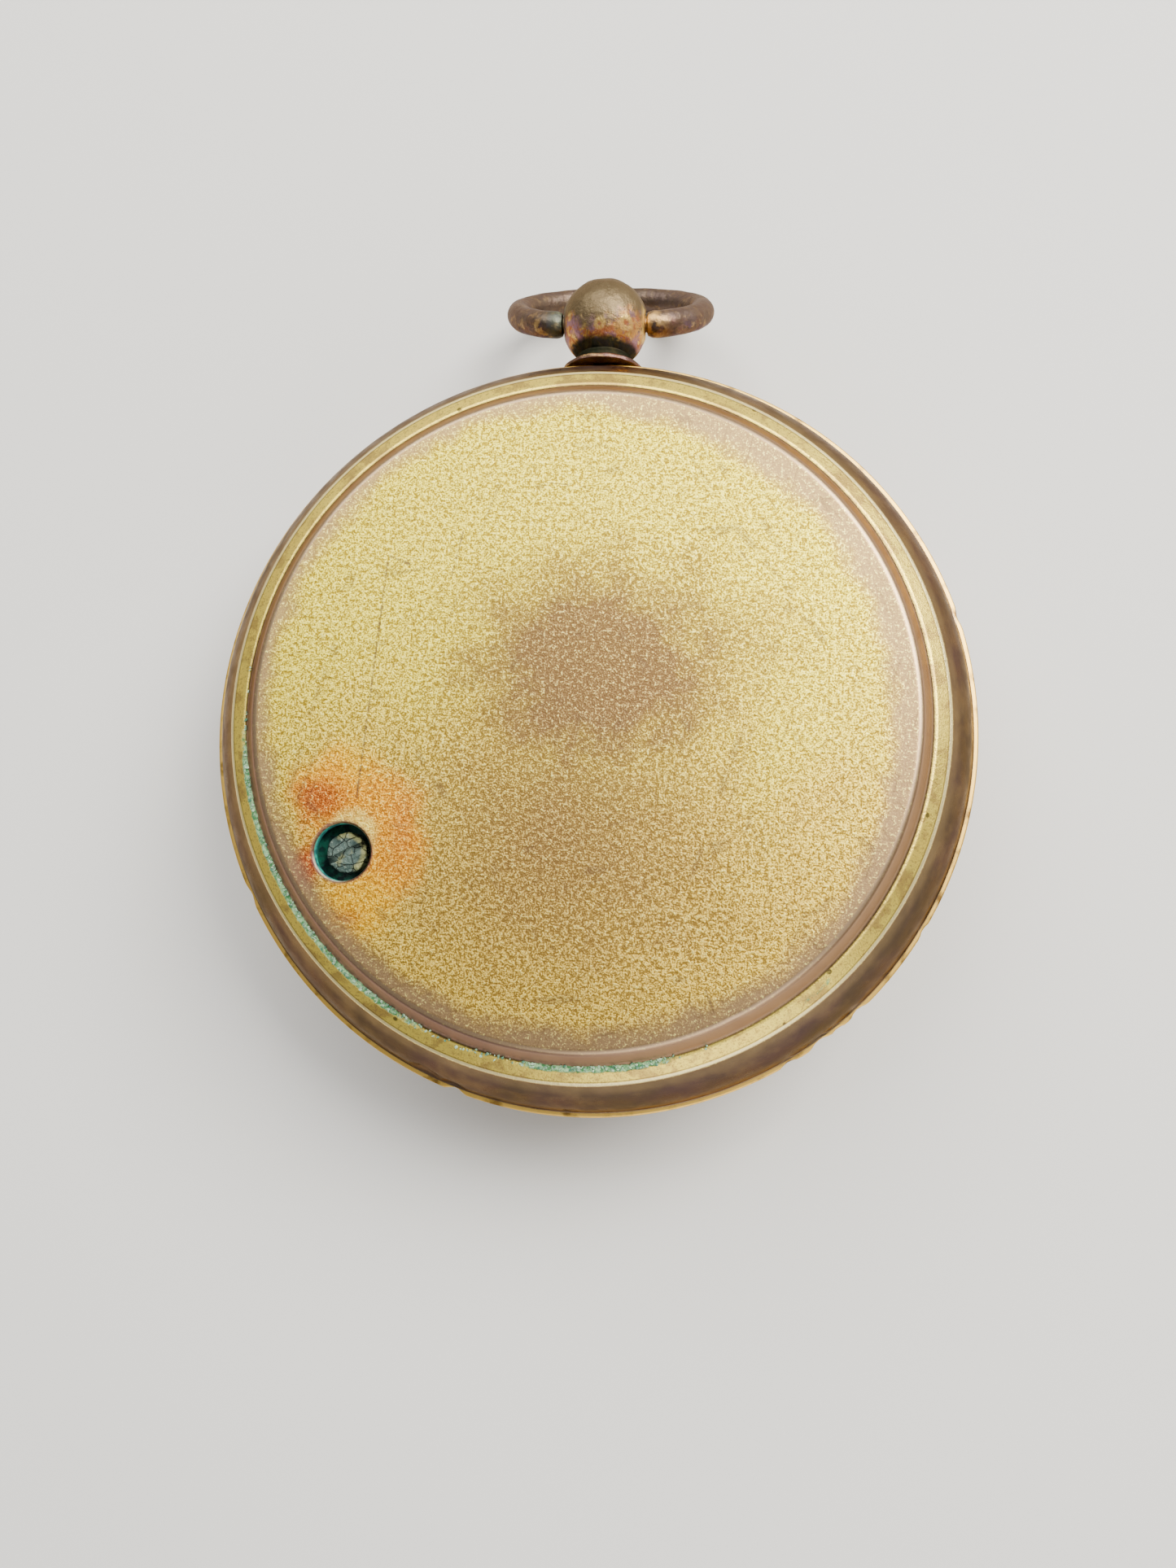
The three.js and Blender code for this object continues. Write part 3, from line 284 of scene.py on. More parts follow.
class Effect:
    """A shader node group that several materials place with their own values."""

    label = ""
    inputs: dict[str, str] = {}
    outputs: dict[str, str] = {}

    @classmethod
    def tree(cls) -> bpy.types.NodeTree:
        """Returns the group's tree, built on its first use."""
        found = bpy.data.node_groups.get(cls.label)
        if found:
            return found
        tree = bpy.data.node_groups.new(cls.label, "ShaderNodeTree")
        for direction, sockets in (("INPUT", cls.inputs), ("OUTPUT", cls.outputs)):
            for name, kind in sockets.items():
                tree.interface.new_socket(name=name, in_out=direction, socket_type=f"NodeSocket{kind}")
        graph = Graph(tree)
        entry = graph.put("NodeGroupInput")
        results = cls.build(graph, {name: entry.outputs[name] for name in cls.inputs})
        leave = graph.put("NodeGroupOutput")
        for name, value in results.items():
            graph.feed(leave.inputs[name], value)
        return tree

    @classmethod
    def build(cls, graph: Graph, given: Sockets) -> Sockets:
        """Adds the group's nodes and returns its outputs by name."""
        raise NotImplementedError


class Frosting(Effect):
    """Fine acid-frosted grain of a gilt surface. Grain is the size of one grain in millimetres."""

    label = "Frosting"
    inputs = {"Vector": "Vector", "Grain": "Float"}
    outputs = {"Height": "Float", "Glint": "Float", "Pits": "Float"}

    @classmethod
    def build(cls, graph: Graph, given: Sockets) -> Sockets:
        """Mixes two sizes of grain and finds their tops and hollows."""
        scale = graph.math("DIVIDE", 1.0, given["Grain"])
        fine = graph.noise(given["Vector"], scale, 2.0, 0.6)
        coarse = graph.noise(given["Vector"], graph.times(scale, 0.42), 2.0, 0.55)
        height = graph.blend(0.4, fine, coarse)
        glint = graph.step(height, 0.57, 0.64)
        pits = graph.step(height, 0.45, 0.34)
        return {"Height": height, "Glint": glint, "Pits": pits}


class Patches(Effect):
    """Ragged patches such as wear or tarnish. Size is in millimetres, Cover from 0 to 1."""

    label = "Patches"
    inputs = {"Vector": "Vector", "Size": "Float", "Cover": "Float", "Softness": "Float"}
    outputs = {"Mask": "Float"}

    @classmethod
    def build(cls, graph: Graph, given: Sockets) -> Sockets:
        """Cuts a fractal noise at the level that covers the wanted share."""
        value = graph.noise(given["Vector"], graph.math("DIVIDE", 1.0, given["Size"]), 6.0, 0.6, 0.3)
        level = graph.blend(given["Cover"], 0.72, 0.28)
        start = graph.minus(level, given["Softness"])
        return {"Mask": graph.step(value, start, graph.plus(level, given["Softness"]))}


class Spot(Effect):
    """A ragged oval spot. Centre and Radii are in millimetres, Edge is the share of the radius that fades."""

    label = "Spot"
    inputs = {"Vector": "Vector", "Centre": "Vector", "Radii": "Vector", "Edge": "Float", "Ragged": "Float"}
    outputs = {"Mask": "Float"}

    @classmethod
    def build(cls, graph: Graph, given: Sockets) -> Sockets:
        """Measures the distance from the centre, disturbed by noise."""
        offset = graph.vector("SUBTRACT", given["Vector"], given["Centre"])
        away = graph.vector("DIVIDE", offset, given["Radii"])
        distance = graph.length(away)
        wobble = graph.sway(given["Vector"], 0.35, 5.0, 0.65)
        ragged = graph.math("MULTIPLY_ADD", wobble, given["Ragged"], distance)
        return {"Mask": graph.step(ragged, 1.0, graph.minus(1.0, given["Edge"]))}


class Scratch(Effect):
    """One straight scratch from Start to End, in millimetres, seen from above."""

    label = "Scratch"
    inputs = {"Vector": "Vector", "Start": "Vector", "End": "Vector", "Width": "Float"}
    outputs = {"Mask": "Float"}

    @classmethod
    def build(cls, graph: Graph, given: Sockets) -> Sockets:
        """Measures the distance to the line and breaks the line up a little."""
        flat = graph.flat(given["Vector"])
        run = graph.vector("SUBTRACT", given["End"], given["Start"])
        away = graph.vector("SUBTRACT", flat, given["Start"])
        along = graph.math(
            "DIVIDE", graph.vector("DOT_PRODUCT", away, run, out="Value"),
            graph.vector("DOT_PRODUCT", run, run, out="Value"), clamp=True,
        )
        scaled = graph.put("ShaderNodeVectorMath", operation="SCALE")
        graph.feed(scaled.inputs[0], run)
        graph.feed(scaled.inputs["Scale"], along)
        distance = graph.vector("DISTANCE", away, scaled.outputs[0], out="Value")
        wander = graph.times(graph.sway(flat, 1.3, 2.0), 0.18)
        width = graph.times(given["Width"], graph.noise(flat, 2.2, 3.0))
        line = graph.step(graph.math("ABSOLUTE", graph.plus(distance, wander)), width, 0.0)
        return {"Mask": graph.times(line, graph.step(graph.noise(flat, 3.0, 2.0), 0.34, 0.5))}


class HairLines(Effect):
    """Fine handling scratches in every direction. Spacing is in millimetres."""

    label = "Hair lines"
    inputs = {"Vector": "Vector", "Spacing": "Float", "Amount": "Float"}
    outputs = {"Mask": "Float"}

    @classmethod
    def build(cls, graph: Graph, given: Sockets) -> Sockets:
        """Lays three turned families of thin broken lines over each other."""
        total: Socket | None = None
        scale = graph.math("DIVIDE", 1.0, given["Spacing"])
        for turn, stretch in ((0.3, 22.0), (1.35, 17.0), (2.5, 26.0)):
            turned = graph.put("ShaderNodeVectorRotate", rotation_type="Z_AXIS")
            graph.feed(turned.inputs["Vector"], given["Vector"])
            graph.feed(turned.inputs["Angle"], turn)
            squeezed = graph.vector("MULTIPLY", turned.outputs[0], (1.0, 1.0 / stretch, 1.0))
            value = graph.noise(squeezed, scale, 1.0, 0.5)
            line = graph.step(graph.math("ABSOLUTE", graph.minus(value, 0.5)), 0.012, 0.002)
            gate = graph.step(graph.noise(given["Vector"], 0.25 + 0.1 * turn, 2.0), 0.52, 0.62)
            part = graph.times(line, gate)
            total = part if total is None else graph.most(total, part)
        return {"Mask": graph.times(total, given["Amount"])}


class Verdigris(Effect):
    """Green copper salts where Place is high."""

    label = "Verdigris"
    inputs = {"Vector": "Vector", "Place": "Float"}
    outputs = {"Mask": "Float", "Color": "Color", "Height": "Float"}

    @classmethod
    def build(cls, graph: Graph, given: Sockets) -> Sockets:
        """Breaks the place up into grains and shades them from deep green to pale mint."""
        grain = graph.noise(given["Vector"], 2.6, 6.0, 0.68)
        mask = graph.step(graph.plus(given["Place"], graph.times(grain, 0.9)), 0.92, 1.16)
        shade = graph.noise(given["Vector"], 4.2, 4.0, 0.6)
        colour = graph.mix(graph.step(shade, 0.36, 0.66), (0.05, 0.19, 0.07), (0.36, 0.60, 0.32))
        return {"Mask": mask, "Color": colour, "Height": graph.times(mask, grain)}


class Zone(Effect):
    """Where a turned piece lies between two radii, in millimetres."""

    label = "Zone"
    inputs = {"Vector": "Vector", "Inner": "Float", "Outer": "Float", "Fade": "Float"}
    outputs = {"Mask": "Float"}

    @classmethod
    def build(cls, graph: Graph, given: Sockets) -> Sockets:
        """Multiplies a rising edge by a falling one."""
        radius = graph.length(graph.flat(given["Vector"]))
        rise = graph.step(
            radius, graph.minus(given["Inner"], given["Fade"]),
            graph.plus(given["Inner"], given["Fade"]),
        )
        fall = graph.step(
            radius, graph.plus(given["Outer"], given["Fade"]),
            graph.minus(given["Outer"], given["Fade"]),
        )
        return {"Mask": graph.times(rise, fall)}


class Sector(Effect):
    """A stretch of the rim about a direction. Angle, Spread and Fade are in degrees."""

    label = "Sector"
    inputs = {"Vector": "Vector", "Angle": "Float", "Spread": "Float", "Fade": "Float"}
    outputs = {"Mask": "Float"}

    @classmethod
    def build(cls, graph: Graph, given: Sockets) -> Sockets:
        """Turns the piece so that the direction lies on +X and measures the angle from it."""
        turned = graph.put("ShaderNodeVectorRotate", rotation_type="Z_AXIS")
        graph.feed(turned.inputs["Vector"], given["Vector"])
        graph.feed(turned.inputs["Angle"], graph.math("RADIANS", graph.times(given["Angle"], -1.0)))
        x, y, _ = graph.part(turned.outputs[0])
        away = graph.math("ABSOLUTE", graph.math("DEGREES", graph.math("ARCTAN2", y, x)))
        return {"Mask": graph.step(away, graph.plus(given["Spread"], given["Fade"]), given["Spread"])}


# ---- Finishes ----------------------------------------------------------------------------------------


@dataclass(frozen=True)
class Finish:
    """One surface finish."""

    name: str

    def material(self) -> bpy.types.Material:
        """Returns the finish's material, built on its first use."""
        found = bpy.data.materials.get(self.name)
        if found:
            return found
        material = bpy.data.materials.new(self.name)
        material.use_nodes = True
        material.node_tree.nodes.clear()
        graph = Graph(material.node_tree)
        coordinates = graph.put("ShaderNodeTexCoord").outputs["Object"]
        place = graph.put("ShaderNodeMapping")
        graph.feed(place.inputs["Vector"], coordinates)
        place.inputs["Scale"].default_value = (1 / MM, 1 / MM, 1 / MM)
        shader = self.surface(graph, place.outputs[0])
        output = graph.put("ShaderNodeOutputMaterial")
        graph.tree.links.new(shader, output.inputs["Surface"])
        return material

    def surface(self, graph: Graph, here: Socket) -> Socket:
        """Adds the finish's own nodes.

        Args:
            graph: the material's graph.
            here: the point on the piece, in millimetres.

        Returns:
            The shader's output socket.
        """
        raise NotImplementedError

    @staticmethod
    def spot(graph: Graph, here: Socket, centre: tuple[float, float], radii: tuple[float, float], edge: float,
             ragged: float) -> Socket:
        """Returns a mask of a ragged oval spot seen from above, its centre and radii in millimetres."""
        return graph.mask(Spot, here, Centre=(*centre, 0.0), Radii=(*radii, ANY_DEPTH), Edge=edge,
                          Ragged=ragged)

    @staticmethod
    def layered(graph: Graph, factor: Socket, under: Socket, over: Socket) -> Socket:
        """Returns two shaders mixed by a factor."""
        both = graph.put("ShaderNodeMixShader")
        for socket, value in zip(both.inputs, (factor, under, over)):
            graph.feed(socket, value)
        return both.outputs[0]

    @staticmethod
    def metal(graph: Graph, colour: Value, rough: Value, metallic: Value, height: Value, lift: float,
              coat: float = 0.0, edge: Colour = (1.0, 1.0, 1.0)) -> Socket:
        """Adds a Principled shader with a bump.

        Args:
            graph: the material's graph.
            colour: base colour.
            rough: roughness.
            metallic: share of bare metal.
            height: bump height, from 0 to 1.
            lift: depth of the bump in millimetres.
            coat: weight of a lacquer coat.
            edge: tint of the reflection at a grazing angle.

        Returns:
            The shader's output socket.
        """
        bump = graph.put("ShaderNodeBump")
        bump.inputs["Strength"].default_value = 1.0
        bump.inputs["Distance"].default_value = lift * MM
        graph.feed(bump.inputs["Height"], height)
        shader = graph.put("ShaderNodeBsdfPrincipled")
        graph.feed(shader.inputs["Base Color"], colour)
        graph.feed(shader.inputs["Roughness"], rough)
        graph.feed(shader.inputs["Metallic"], metallic)
        graph.feed(shader.inputs["Normal"], bump.outputs[0])
        shader.inputs["Coat Weight"].default_value = coat
        shader.inputs["Coat Roughness"].default_value = 0.2
        shader.inputs["Specular Tint"].default_value = (*edge, 1.0)
        return shader.outputs[0]


@dataclass(frozen=True)
class FrostedBack(Finish):
    """Frosted gilding of the sprung back, rubbed in the middle, where painted shade also stands for a dark
    reflection, and stained round the access hole. Painted light also makes the field lighter towards +Y, puts
    highlights along its edges and glints on its grain, and darkens the wall as a painted dark reflection.
    """

    name: str = "frosted gilt back"
    field_edge: float = FIELD_EDGE
    step_foot: float = STEP_FOOT
    band_edge: float = BAND_EDGE
    lip_edge: float = 24.72
    hole: Point = HOLE_CENTRE
    hole_radius: float = HOLE_RADIUS
    # lit and shaded copies of the field's gold, blended towards +Y: painted light
    lit_gold_between: Colour = (0.36, 0.25, 0.012)
    lit_gold_grain: Colour = (1.0, 0.86, 0.085)
    shaded_gold_between: Colour = (0.27, 0.165, 0.022)
    shaded_gold_grain: Colour = (0.90, 0.64, 0.10)
    # colour of painted glints on the grain's tops
    painted_glint: Colour = (1.0, 0.93, 0.28)
    # colours of the rubbed middle, darkened partly as painted shade for a dark reflection
    worn_and_painted_light: tuple[Colour, Colour] = ((0.15, 0.082, 0.046), (0.40, 0.245, 0.12))
    mauve: tuple[Colour, Colour] = ((0.38, 0.25, 0.15), (0.62, 0.42, 0.22))
    orange: tuple[Colour, Colour] = ((0.48, 0.16, 0.004), (1.0, 0.48, 0.012))
    amber: tuple[Colour, Colour] = ((0.50, 0.23, 0.004), (1.0, 0.60, 0.015))
    red: tuple[Colour, Colour] = ((0.24, 0.045, 0.012), (0.58, 0.15, 0.035))
    tide: tuple[Colour, Colour] = ((0.36, 0.11, 0.015), (0.82, 0.34, 0.05))
    clean: tuple[Colour, Colour] = ((0.72, 0.46, 0.07), (1.0, 0.82, 0.18))
    brown: Colour = (0.30, 0.185, 0.115)
    # the wall's dark base: painted shade standing for the dark surroundings it reflects
    wall: Colour = (0.080, 0.062, 0.050)

    def surface(self, graph: Graph, here: Socket) -> Socket:
        """Builds the colour from the field out to the lip, then adds the stains."""
        frost = graph.use(Frosting, Vector=here, Grain=0.115)
        field = self.zone(graph, here, -1.0, self.field_edge - 0.25, 0.12)
        # rubbed middle of the field, partly painted shade standing for a dark reflection
        wear_and_shade = self.worn_and_shaded_middle(graph, here)
        margin = self.margin(graph, here)
        colour = self.field_colour(graph, here, frost, wear_and_shade, margin)
        colour = self.scratches(graph, here, colour)
        # painted highlight along the polished rounded edge of the field
        edge = self.zone(graph, here, self.field_edge - 0.26, self.field_edge - 0.02, 0.05)
        colour = graph.stain(colour, edge, 0.8, (0.50, 0.35, 0.22))
        step = self.zone(graph, here, self.field_edge - 0.02, self.step_foot - 0.05, 0.06)
        colour = graph.mix(step, colour, self.step_colour(graph, here))
        band = self.zone(graph, here, self.step_foot + 0.02, self.band_edge, 0.05)
        colour = graph.mix(band, colour, self.band_colour(graph, here, frost))
        wall = self.zone(graph, here, self.band_edge + 0.04, self.lip_edge, 0.05)
        colour = graph.mix(wall, colour, self.wall_colour(graph, here))
        lip = self.zone(graph, here, self.lip_edge, 30.0, 0.04)
        colour = graph.mix(lip, colour, graph.mix(
            graph.step(graph.noise(here, 0.7, 5.0), 0.30, 0.50), (0.20, 0.11, 0.035), (0.86, 0.55, 0.12)))
        groove = self.zone(graph, here, self.step_foot - 0.06, self.step_foot + 0.08, 0.06)
        colour = graph.stain(colour, groove, 0.8, (0.05, 0.03, 0.018))
        colour, green = self.salts(graph, here, colour)
        colour, bore = self.hole_colour(graph, here, colour)

        rough = graph.blend(field, 0.24, graph.blend(frost["Glint"], 0.50, 0.28))
        rough = graph.blend(margin, rough, 0.42)
        rough = graph.blend(graph.most(edge, step), rough, 0.36)
        rough = graph.blend(band, rough, graph.blend(frost["Glint"], 0.42, 0.28))
        rough = graph.blend(wall, rough, graph.step(graph.noise(here, 0.8, 5.0), 0.3, 0.7, 0.26, 0.44))
        matt = graph.most(green, bore)
        rough = graph.blend(matt, rough, 0.85)
        metallic = graph.minus(1.0, graph.times(matt, 0.95))

        bare = graph.minus(1.0, graph.times(margin, 0.75))
        frosting = graph.times(graph.times(frost["Height"], field), bare)
        grainy = graph.times(graph.times(frost["Height"], band), 0.6)
        slow = graph.times(graph.noise(here, 0.22, 2.0), 0.7)
        height = graph.plus(graph.plus(frosting, grainy), slow)
        height = graph.math("MULTIPLY_ADD", green, 0.8, height)
        return self.metal(graph, colour, rough, metallic, height, 0.05, edge=(0.60, 0.50, 0.40))

    @staticmethod
    def zone(graph: Graph, here: Socket, inner: float, outer: float, fade: float) -> Socket:
        """Returns a mask of the turned surface between two radii."""
        return graph.mask(Zone, here, Inner=inner, Outer=outer, Fade=fade)

    @staticmethod
    def sector(graph: Graph, here: Socket, angle: float, spread: float, fade: float) -> Socket:
        """Returns a mask of the rim about a direction in degrees."""
        return graph.mask(Sector, here, Angle=angle, Spread=spread, Fade=fade)

    def margin(self, graph: Graph, here: Socket) -> Socket:
        """Returns the rubbed margin of the field, where the frosting thins out; wider to the upper right."""
        radius = graph.length(graph.flat(here))
        wide = self.sector(graph, here, 35.0, 20.0, 60.0)
        foot = self.sector(graph, here, -90.0, 40.0, 50.0)
        ragged = graph.times(graph.sway(here, 0.3, 6.0, 0.7), 3.0)
        reach = graph.minus(self.field_edge - 0.1, graph.times(wide, 0.9))
        reach = graph.math("MULTIPLY_ADD", foot, -0.35, reach)
        return graph.step(graph.plus(radius, ragged), graph.minus(reach, 1.6), reach)

    def worn_and_shaded_middle(self, graph: Graph, here: Socket) -> Socket:
        """Returns how far the middle and lower part of the field are darkened: partly frosting rubbed down, partly
        painted shade that stands for a dark reflection there.
        """
        core = self.spot(graph, here, (0.9, 2.4), (13.0, 11.0), 1.0, 0.8)
        arm = self.spot(graph, here, (7.0, 4.5), (8.5, 5.0), 0.9, 0.9)
        low = self.spot(graph, here, (-0.5, -7.0), (16.0, 15.5), 1.0, 0.6)
        outer = graph.most(graph.times(arm, 0.5), graph.times(low, 0.74))
        return graph.most(graph.times(core, 1.35, clamp=True), outer)

    def field_colour(self, graph: Graph, here: Socket, frost: Sockets,
                     wear_and_shade: Socket, margin: Socket) -> Socket:
        """Returns the field: a colour on the grain's tops and one between them, each blended from a shaded copy
        into a lit one towards +Y as painted light, then changed by each stain and by the rubbed middle, which is
        partly painted shade.
        """
        cloud = graph.noise(here, 0.12, 5.0, 0.6)
        _, north, _ = graph.part(here)
        # painted light: the field is lighter towards +Y, broken up by a random cloud
        north_light_and_cloud = graph.plus(graph.step(north, -20.0, 16.0), graph.minus(cloud, 0.5))
        high = graph.step(north_light_and_cloud, 0.1, 0.9)
        low = graph.mix(high, self.shaded_gold_between, self.lit_gold_between)
        top = graph.mix(high, self.shaded_gold_grain, self.lit_gold_grain)
        flat = graph.flat(here)
        masks = [(wear_and_shade, self.worn_and_painted_light, 0.85), *self.rust(graph, here, flat), (margin, self.mauve, 0.72)]
        for mask, (between, grain), strength in masks:
            share = graph.times(mask, strength)
            low = graph.mix(share, low, between)
            top = graph.mix(share, top, grain)
        thinned = graph.most(graph.times(wear_and_shade, 0.5), graph.times(margin, 0.7))
        start = graph.math("MULTIPLY_ADD", thinned, 0.10, 0.435)
        grains = graph.step(frost["Height"], start, graph.plus(start, 0.13))
        colour = graph.mix(grains, low, top)
        colour = graph.stain(colour, frost["Pits"], 0.4, (0.15, 0.085, 0.03))
        # painted glints: bright specks where the grain's tops catch light, fewer in the rubbed middle
        painted_glints = graph.times(frost["Glint"], graph.math("MULTIPLY_ADD", wear_and_shade, -0.40, 0.9))
        return graph.mix(painted_glints, colour, self.painted_glint)

    def rust(self, graph: Graph, here: Socket, flat: Socket) -> list[
            tuple[Socket, tuple[Colour, Colour], float]]:
        """Returns the stains round the access hole as masks with their colours and strengths."""
        stains = []
        for centre, radii, edge, ragged, pair, strength in (
            ((-14.2, -4.2), (3.0, 2.8), 0.7, 0.8, self.amber, 0.9),
            ((-15.6, -5.4), (3.0, 3.2), 0.7, 0.8, self.orange, 0.85),
            ((-12.6, -8.0), (4.4, 5.4), 0.45, 0.8, self.orange, 0.85),
            ((-13.2, -12.2), (3.4, 2.8), 0.7, 0.8, self.amber, 0.9),
            ((-10.6, -7.2), (1.2, 3.6), 0.9, 0.8, self.tide, 0.6),
            ((-15.9, -5.8), (2.6, 1.8), 0.8, 0.9, self.red, 0.85),
            ((-16.8, -7.2), (0.9, 1.4), 1.0, 0.9, self.red, 0.5),
            ((-16.4, -10.0), (1.5, 2.2), 0.8, 0.9, self.red, 1.0),
            ((-13.6, -12.9), (1.6, 0.8), 1.0, 0.9, self.red, 0.5),
            ((-13.6, -7.8), (1.9, 1.8), 0.4, 0.3, self.clean, 0.85),
        ):
            stains.append((self.spot(graph, flat, centre, radii, edge, ragged), pair, strength))
        speck = graph.mask(Patches, here, Size=0.7, Cover=0.44, Softness=0.12)
        near = self.spot(graph, flat, (-13.9, -7.6), (4.6, 5.4), 0.7, 0.9)
        stains.append((graph.times(near, speck), self.red, 0.28))
        return stains

    def scratches(self, graph: Graph, here: Socket, colour: Socket) -> Socket:
        """Returns the colour with the named scratches and a web of hair lines."""
        total = graph.mask(HairLines, here, Spacing=2.4, Amount=0.45)
        for start, end, width in (
            ((-12.4, 9.2), (-13.5, -5.6), 0.24),
            ((-7.7, 11.2), (-8.3, 8.4), 0.20),
            ((9.1, 10.6), (9.9, 9.5), 0.20),
            ((8.0, -16.4), (8.5, -17.6), 0.20),
            ((-12.3, 9.6), (-11.0, 9.1), 0.26),
            ((-4.0, 14.6), (1.5, 13.9), 0.07),
            ((3.5, 6.0), (9.5, 7.2), 0.07),
        ):
            line = graph.mask(Scratch, here, Start=(*start, 0.0), End=(*end, 0.0), Width=width)
            total = graph.most(total, line)
        return graph.stain(colour, total, 0.8, (0.13, 0.08, 0.05))

    def step_colour(self, graph: Graph, here: Socket) -> Socket:
        """Returns the browned step, purple towards the lower left."""
        purple = self.sector(graph, here, -140.0, 35.0, 35.0)
        base = graph.mix(purple, self.brown, (0.20, 0.12, 0.11))
        return graph.stain(base, graph.noise(here, 0.8, 5.0), 0.5, (0.46, 0.30, 0.17))

    def band_colour(self, graph: Graph, here: Socket, frost: Sockets) -> Socket:
        """Returns the bright band with its scribed line, stains and pits, and a painted highlight along its outer
        edge.
        """
        base = graph.mix(graph.noise(here, 0.35, 5.0, 0.65), (1.0, 0.84, 0.16), (0.94, 0.68, 0.12))
        hollow = graph.step(frost["Height"], 0.50, 0.38)
        base = graph.stain(base, hollow, 0.7, (0.46, 0.30, 0.09))
        dull = graph.mask(Patches, here, Size=1.6, Cover=0.36, Softness=0.06)
        base = graph.stain(base, dull, 0.6, (0.40, 0.24, 0.10))
        pits = graph.step(graph.cells(here, 0.62), 0.12, 0.07)
        base = graph.stain(base, pits, 0.8, (0.06, 0.05, 0.03))
        line = self.zone(graph, here, self.band_edge - 0.27, self.band_edge - 0.20, 0.03)
        base = graph.stain(base, line, 0.65, (0.20, 0.12, 0.05))
        # painted highlight along the band's outer edge
        edge = self.zone(graph, here, self.band_edge - 0.18, self.band_edge + 0.1, 0.04)
        return graph.mix(edge, base, (1.0, 0.85, 0.42))

    def wall_colour(self, graph: Graph, here: Socket) -> Socket:
        """Returns the wall: its dark base is painted shade for the dark surroundings it reflects; it is purple in
        places, golden where it is rubbed, lighter brown towards the lip, and has a painted golden highlight in
        places near its top.
        """
        violet = graph.step(graph.noise(here, 0.16, 4.0), 0.4, 0.62)
        tint = graph.mix(violet, self.wall, (0.085, 0.058, 0.060))
        rubbed = graph.mask(Patches, here, Size=3.0, Cover=0.36, Softness=0.12)
        tint = graph.stain(tint, rubbed, 0.45, (0.20, 0.14, 0.08))
        _, _, up = graph.part(here)
        low = graph.step(up, -4.6, -5.7)
        tint = graph.stain(tint, low, 0.35, (0.34, 0.22, 0.11))
        # painted highlight: golden in places near the top of the wall
        high = graph.times(graph.step(up, -2.9, -2.1), graph.noise(here, 0.5, 4.0))
        return graph.mix(high, tint, (0.24, 0.17, 0.09))

    def salts(self, graph: Graph, here: Socket, colour: Socket) -> tuple[
            Socket, Socket]:
        """Returns the colour with verdigris in the groove, and the verdigris mask."""
        groove = self.zone(graph, here, self.step_foot - 0.12, self.step_foot + 0.42, 0.2)
        left = self.sector(graph, here, -146.0, 22.0, 22.0)
        foot = self.sector(graph, here, -86.0, 8.0, 12.0)
        some = graph.times(self.sector(graph, here, -120.0, 55.0, 25.0), 0.55)
        where = graph.most(graph.most(left, foot), some)
        rim = graph.times(self.sector(graph, here, -48.0, 2.5, 2.0),
                         self.zone(graph, here, self.step_foot + 0.3, self.step_foot + 0.8, 0.2))
        place = graph.most(graph.times(groove, where), graph.times(rim, 0.7))
        green = graph.use(Verdigris, Vector=here, Place=graph.times(place, 0.78))
        return graph.mix(green["Mask"], colour, green["Color"]), green["Mask"]

    def hole_colour(self, graph: Graph, here: Socket, colour: Socket) -> tuple[
            Socket, Socket]:
        """Returns the colour with the access hole's rim, a painted highlight on the rim's lower-left side and the
        green bore, and the bore mask.
        """
        local = graph.vector("SUBTRACT", here, self.hole)
        rim = self.zone(graph, local, 0.0, self.hole_radius + 0.2, 0.1)
        colour = graph.stain(colour, rim, 0.75, (0.16, 0.08, 0.10))
        # painted highlight on the lower-left side of the hole's rim
        lit = graph.times(self.zone(graph, local, 0.0, self.hole_radius + 0.09, 0.03),
                         self.sector(graph, local, -128.0, 28.0, 30.0))
        colour = graph.mix(lit, colour, (0.92, 0.80, 0.62))
        _, _, up = graph.part(here)
        inside = graph.times(self.zone(graph, local, 0.0, self.hole_radius + 0.4, 0.1),
                            graph.step(up, -0.1, -0.2))
        shade = graph.step(graph.noise(here, 2.2, 4.0), 0.4, 0.62)
        teal = graph.mix(shade, (0.008, 0.10, 0.11), (0.02, 0.34, 0.26))
        return graph.mix(inside, colour, teal), inside


@dataclass(frozen=True)
class GiltCase(Finish):
    """Polished gilding gone brown, for the case middle and bezel."""

    name: str = "browned gilt case"
    gold: Colour = (0.62, 0.42, 0.16)
    brown: Colour = (0.23, 0.135, 0.075)

    def surface(self, graph: Graph, here: Socket) -> Socket:
        """Mixes rubbed gold and brown tarnish with fine turning lines."""
        patch = graph.mask(Patches, here, Size=5.0, Cover=0.52, Softness=0.14)
        colour = graph.mix(patch, self.gold, self.brown)
        small = graph.mask(Patches, here, Size=0.9, Cover=0.3, Softness=0.06)
        colour = graph.stain(colour, small, 0.45, (0.15, 0.07, 0.055))
        lines = graph.mask(HairLines, here, Spacing=2.0, Amount=0.35)
        colour = graph.mix(lines, colour, (0.70, 0.52, 0.26))
        rough = graph.step(graph.noise(here, 0.7, 5.0), 0.3, 0.7, 0.2, 0.38)
        turning = graph.noise(graph.vector("MULTIPLY", here, (0.04, 0.04, 9.0)), 1.0, 2.0)
        height = graph.plus(graph.times(turning, 0.3), graph.noise(here, 0.4, 3.0))
        return self.metal(graph, colour, rough, 1.0, height, 0.03, edge=(0.5, 0.38, 0.26))


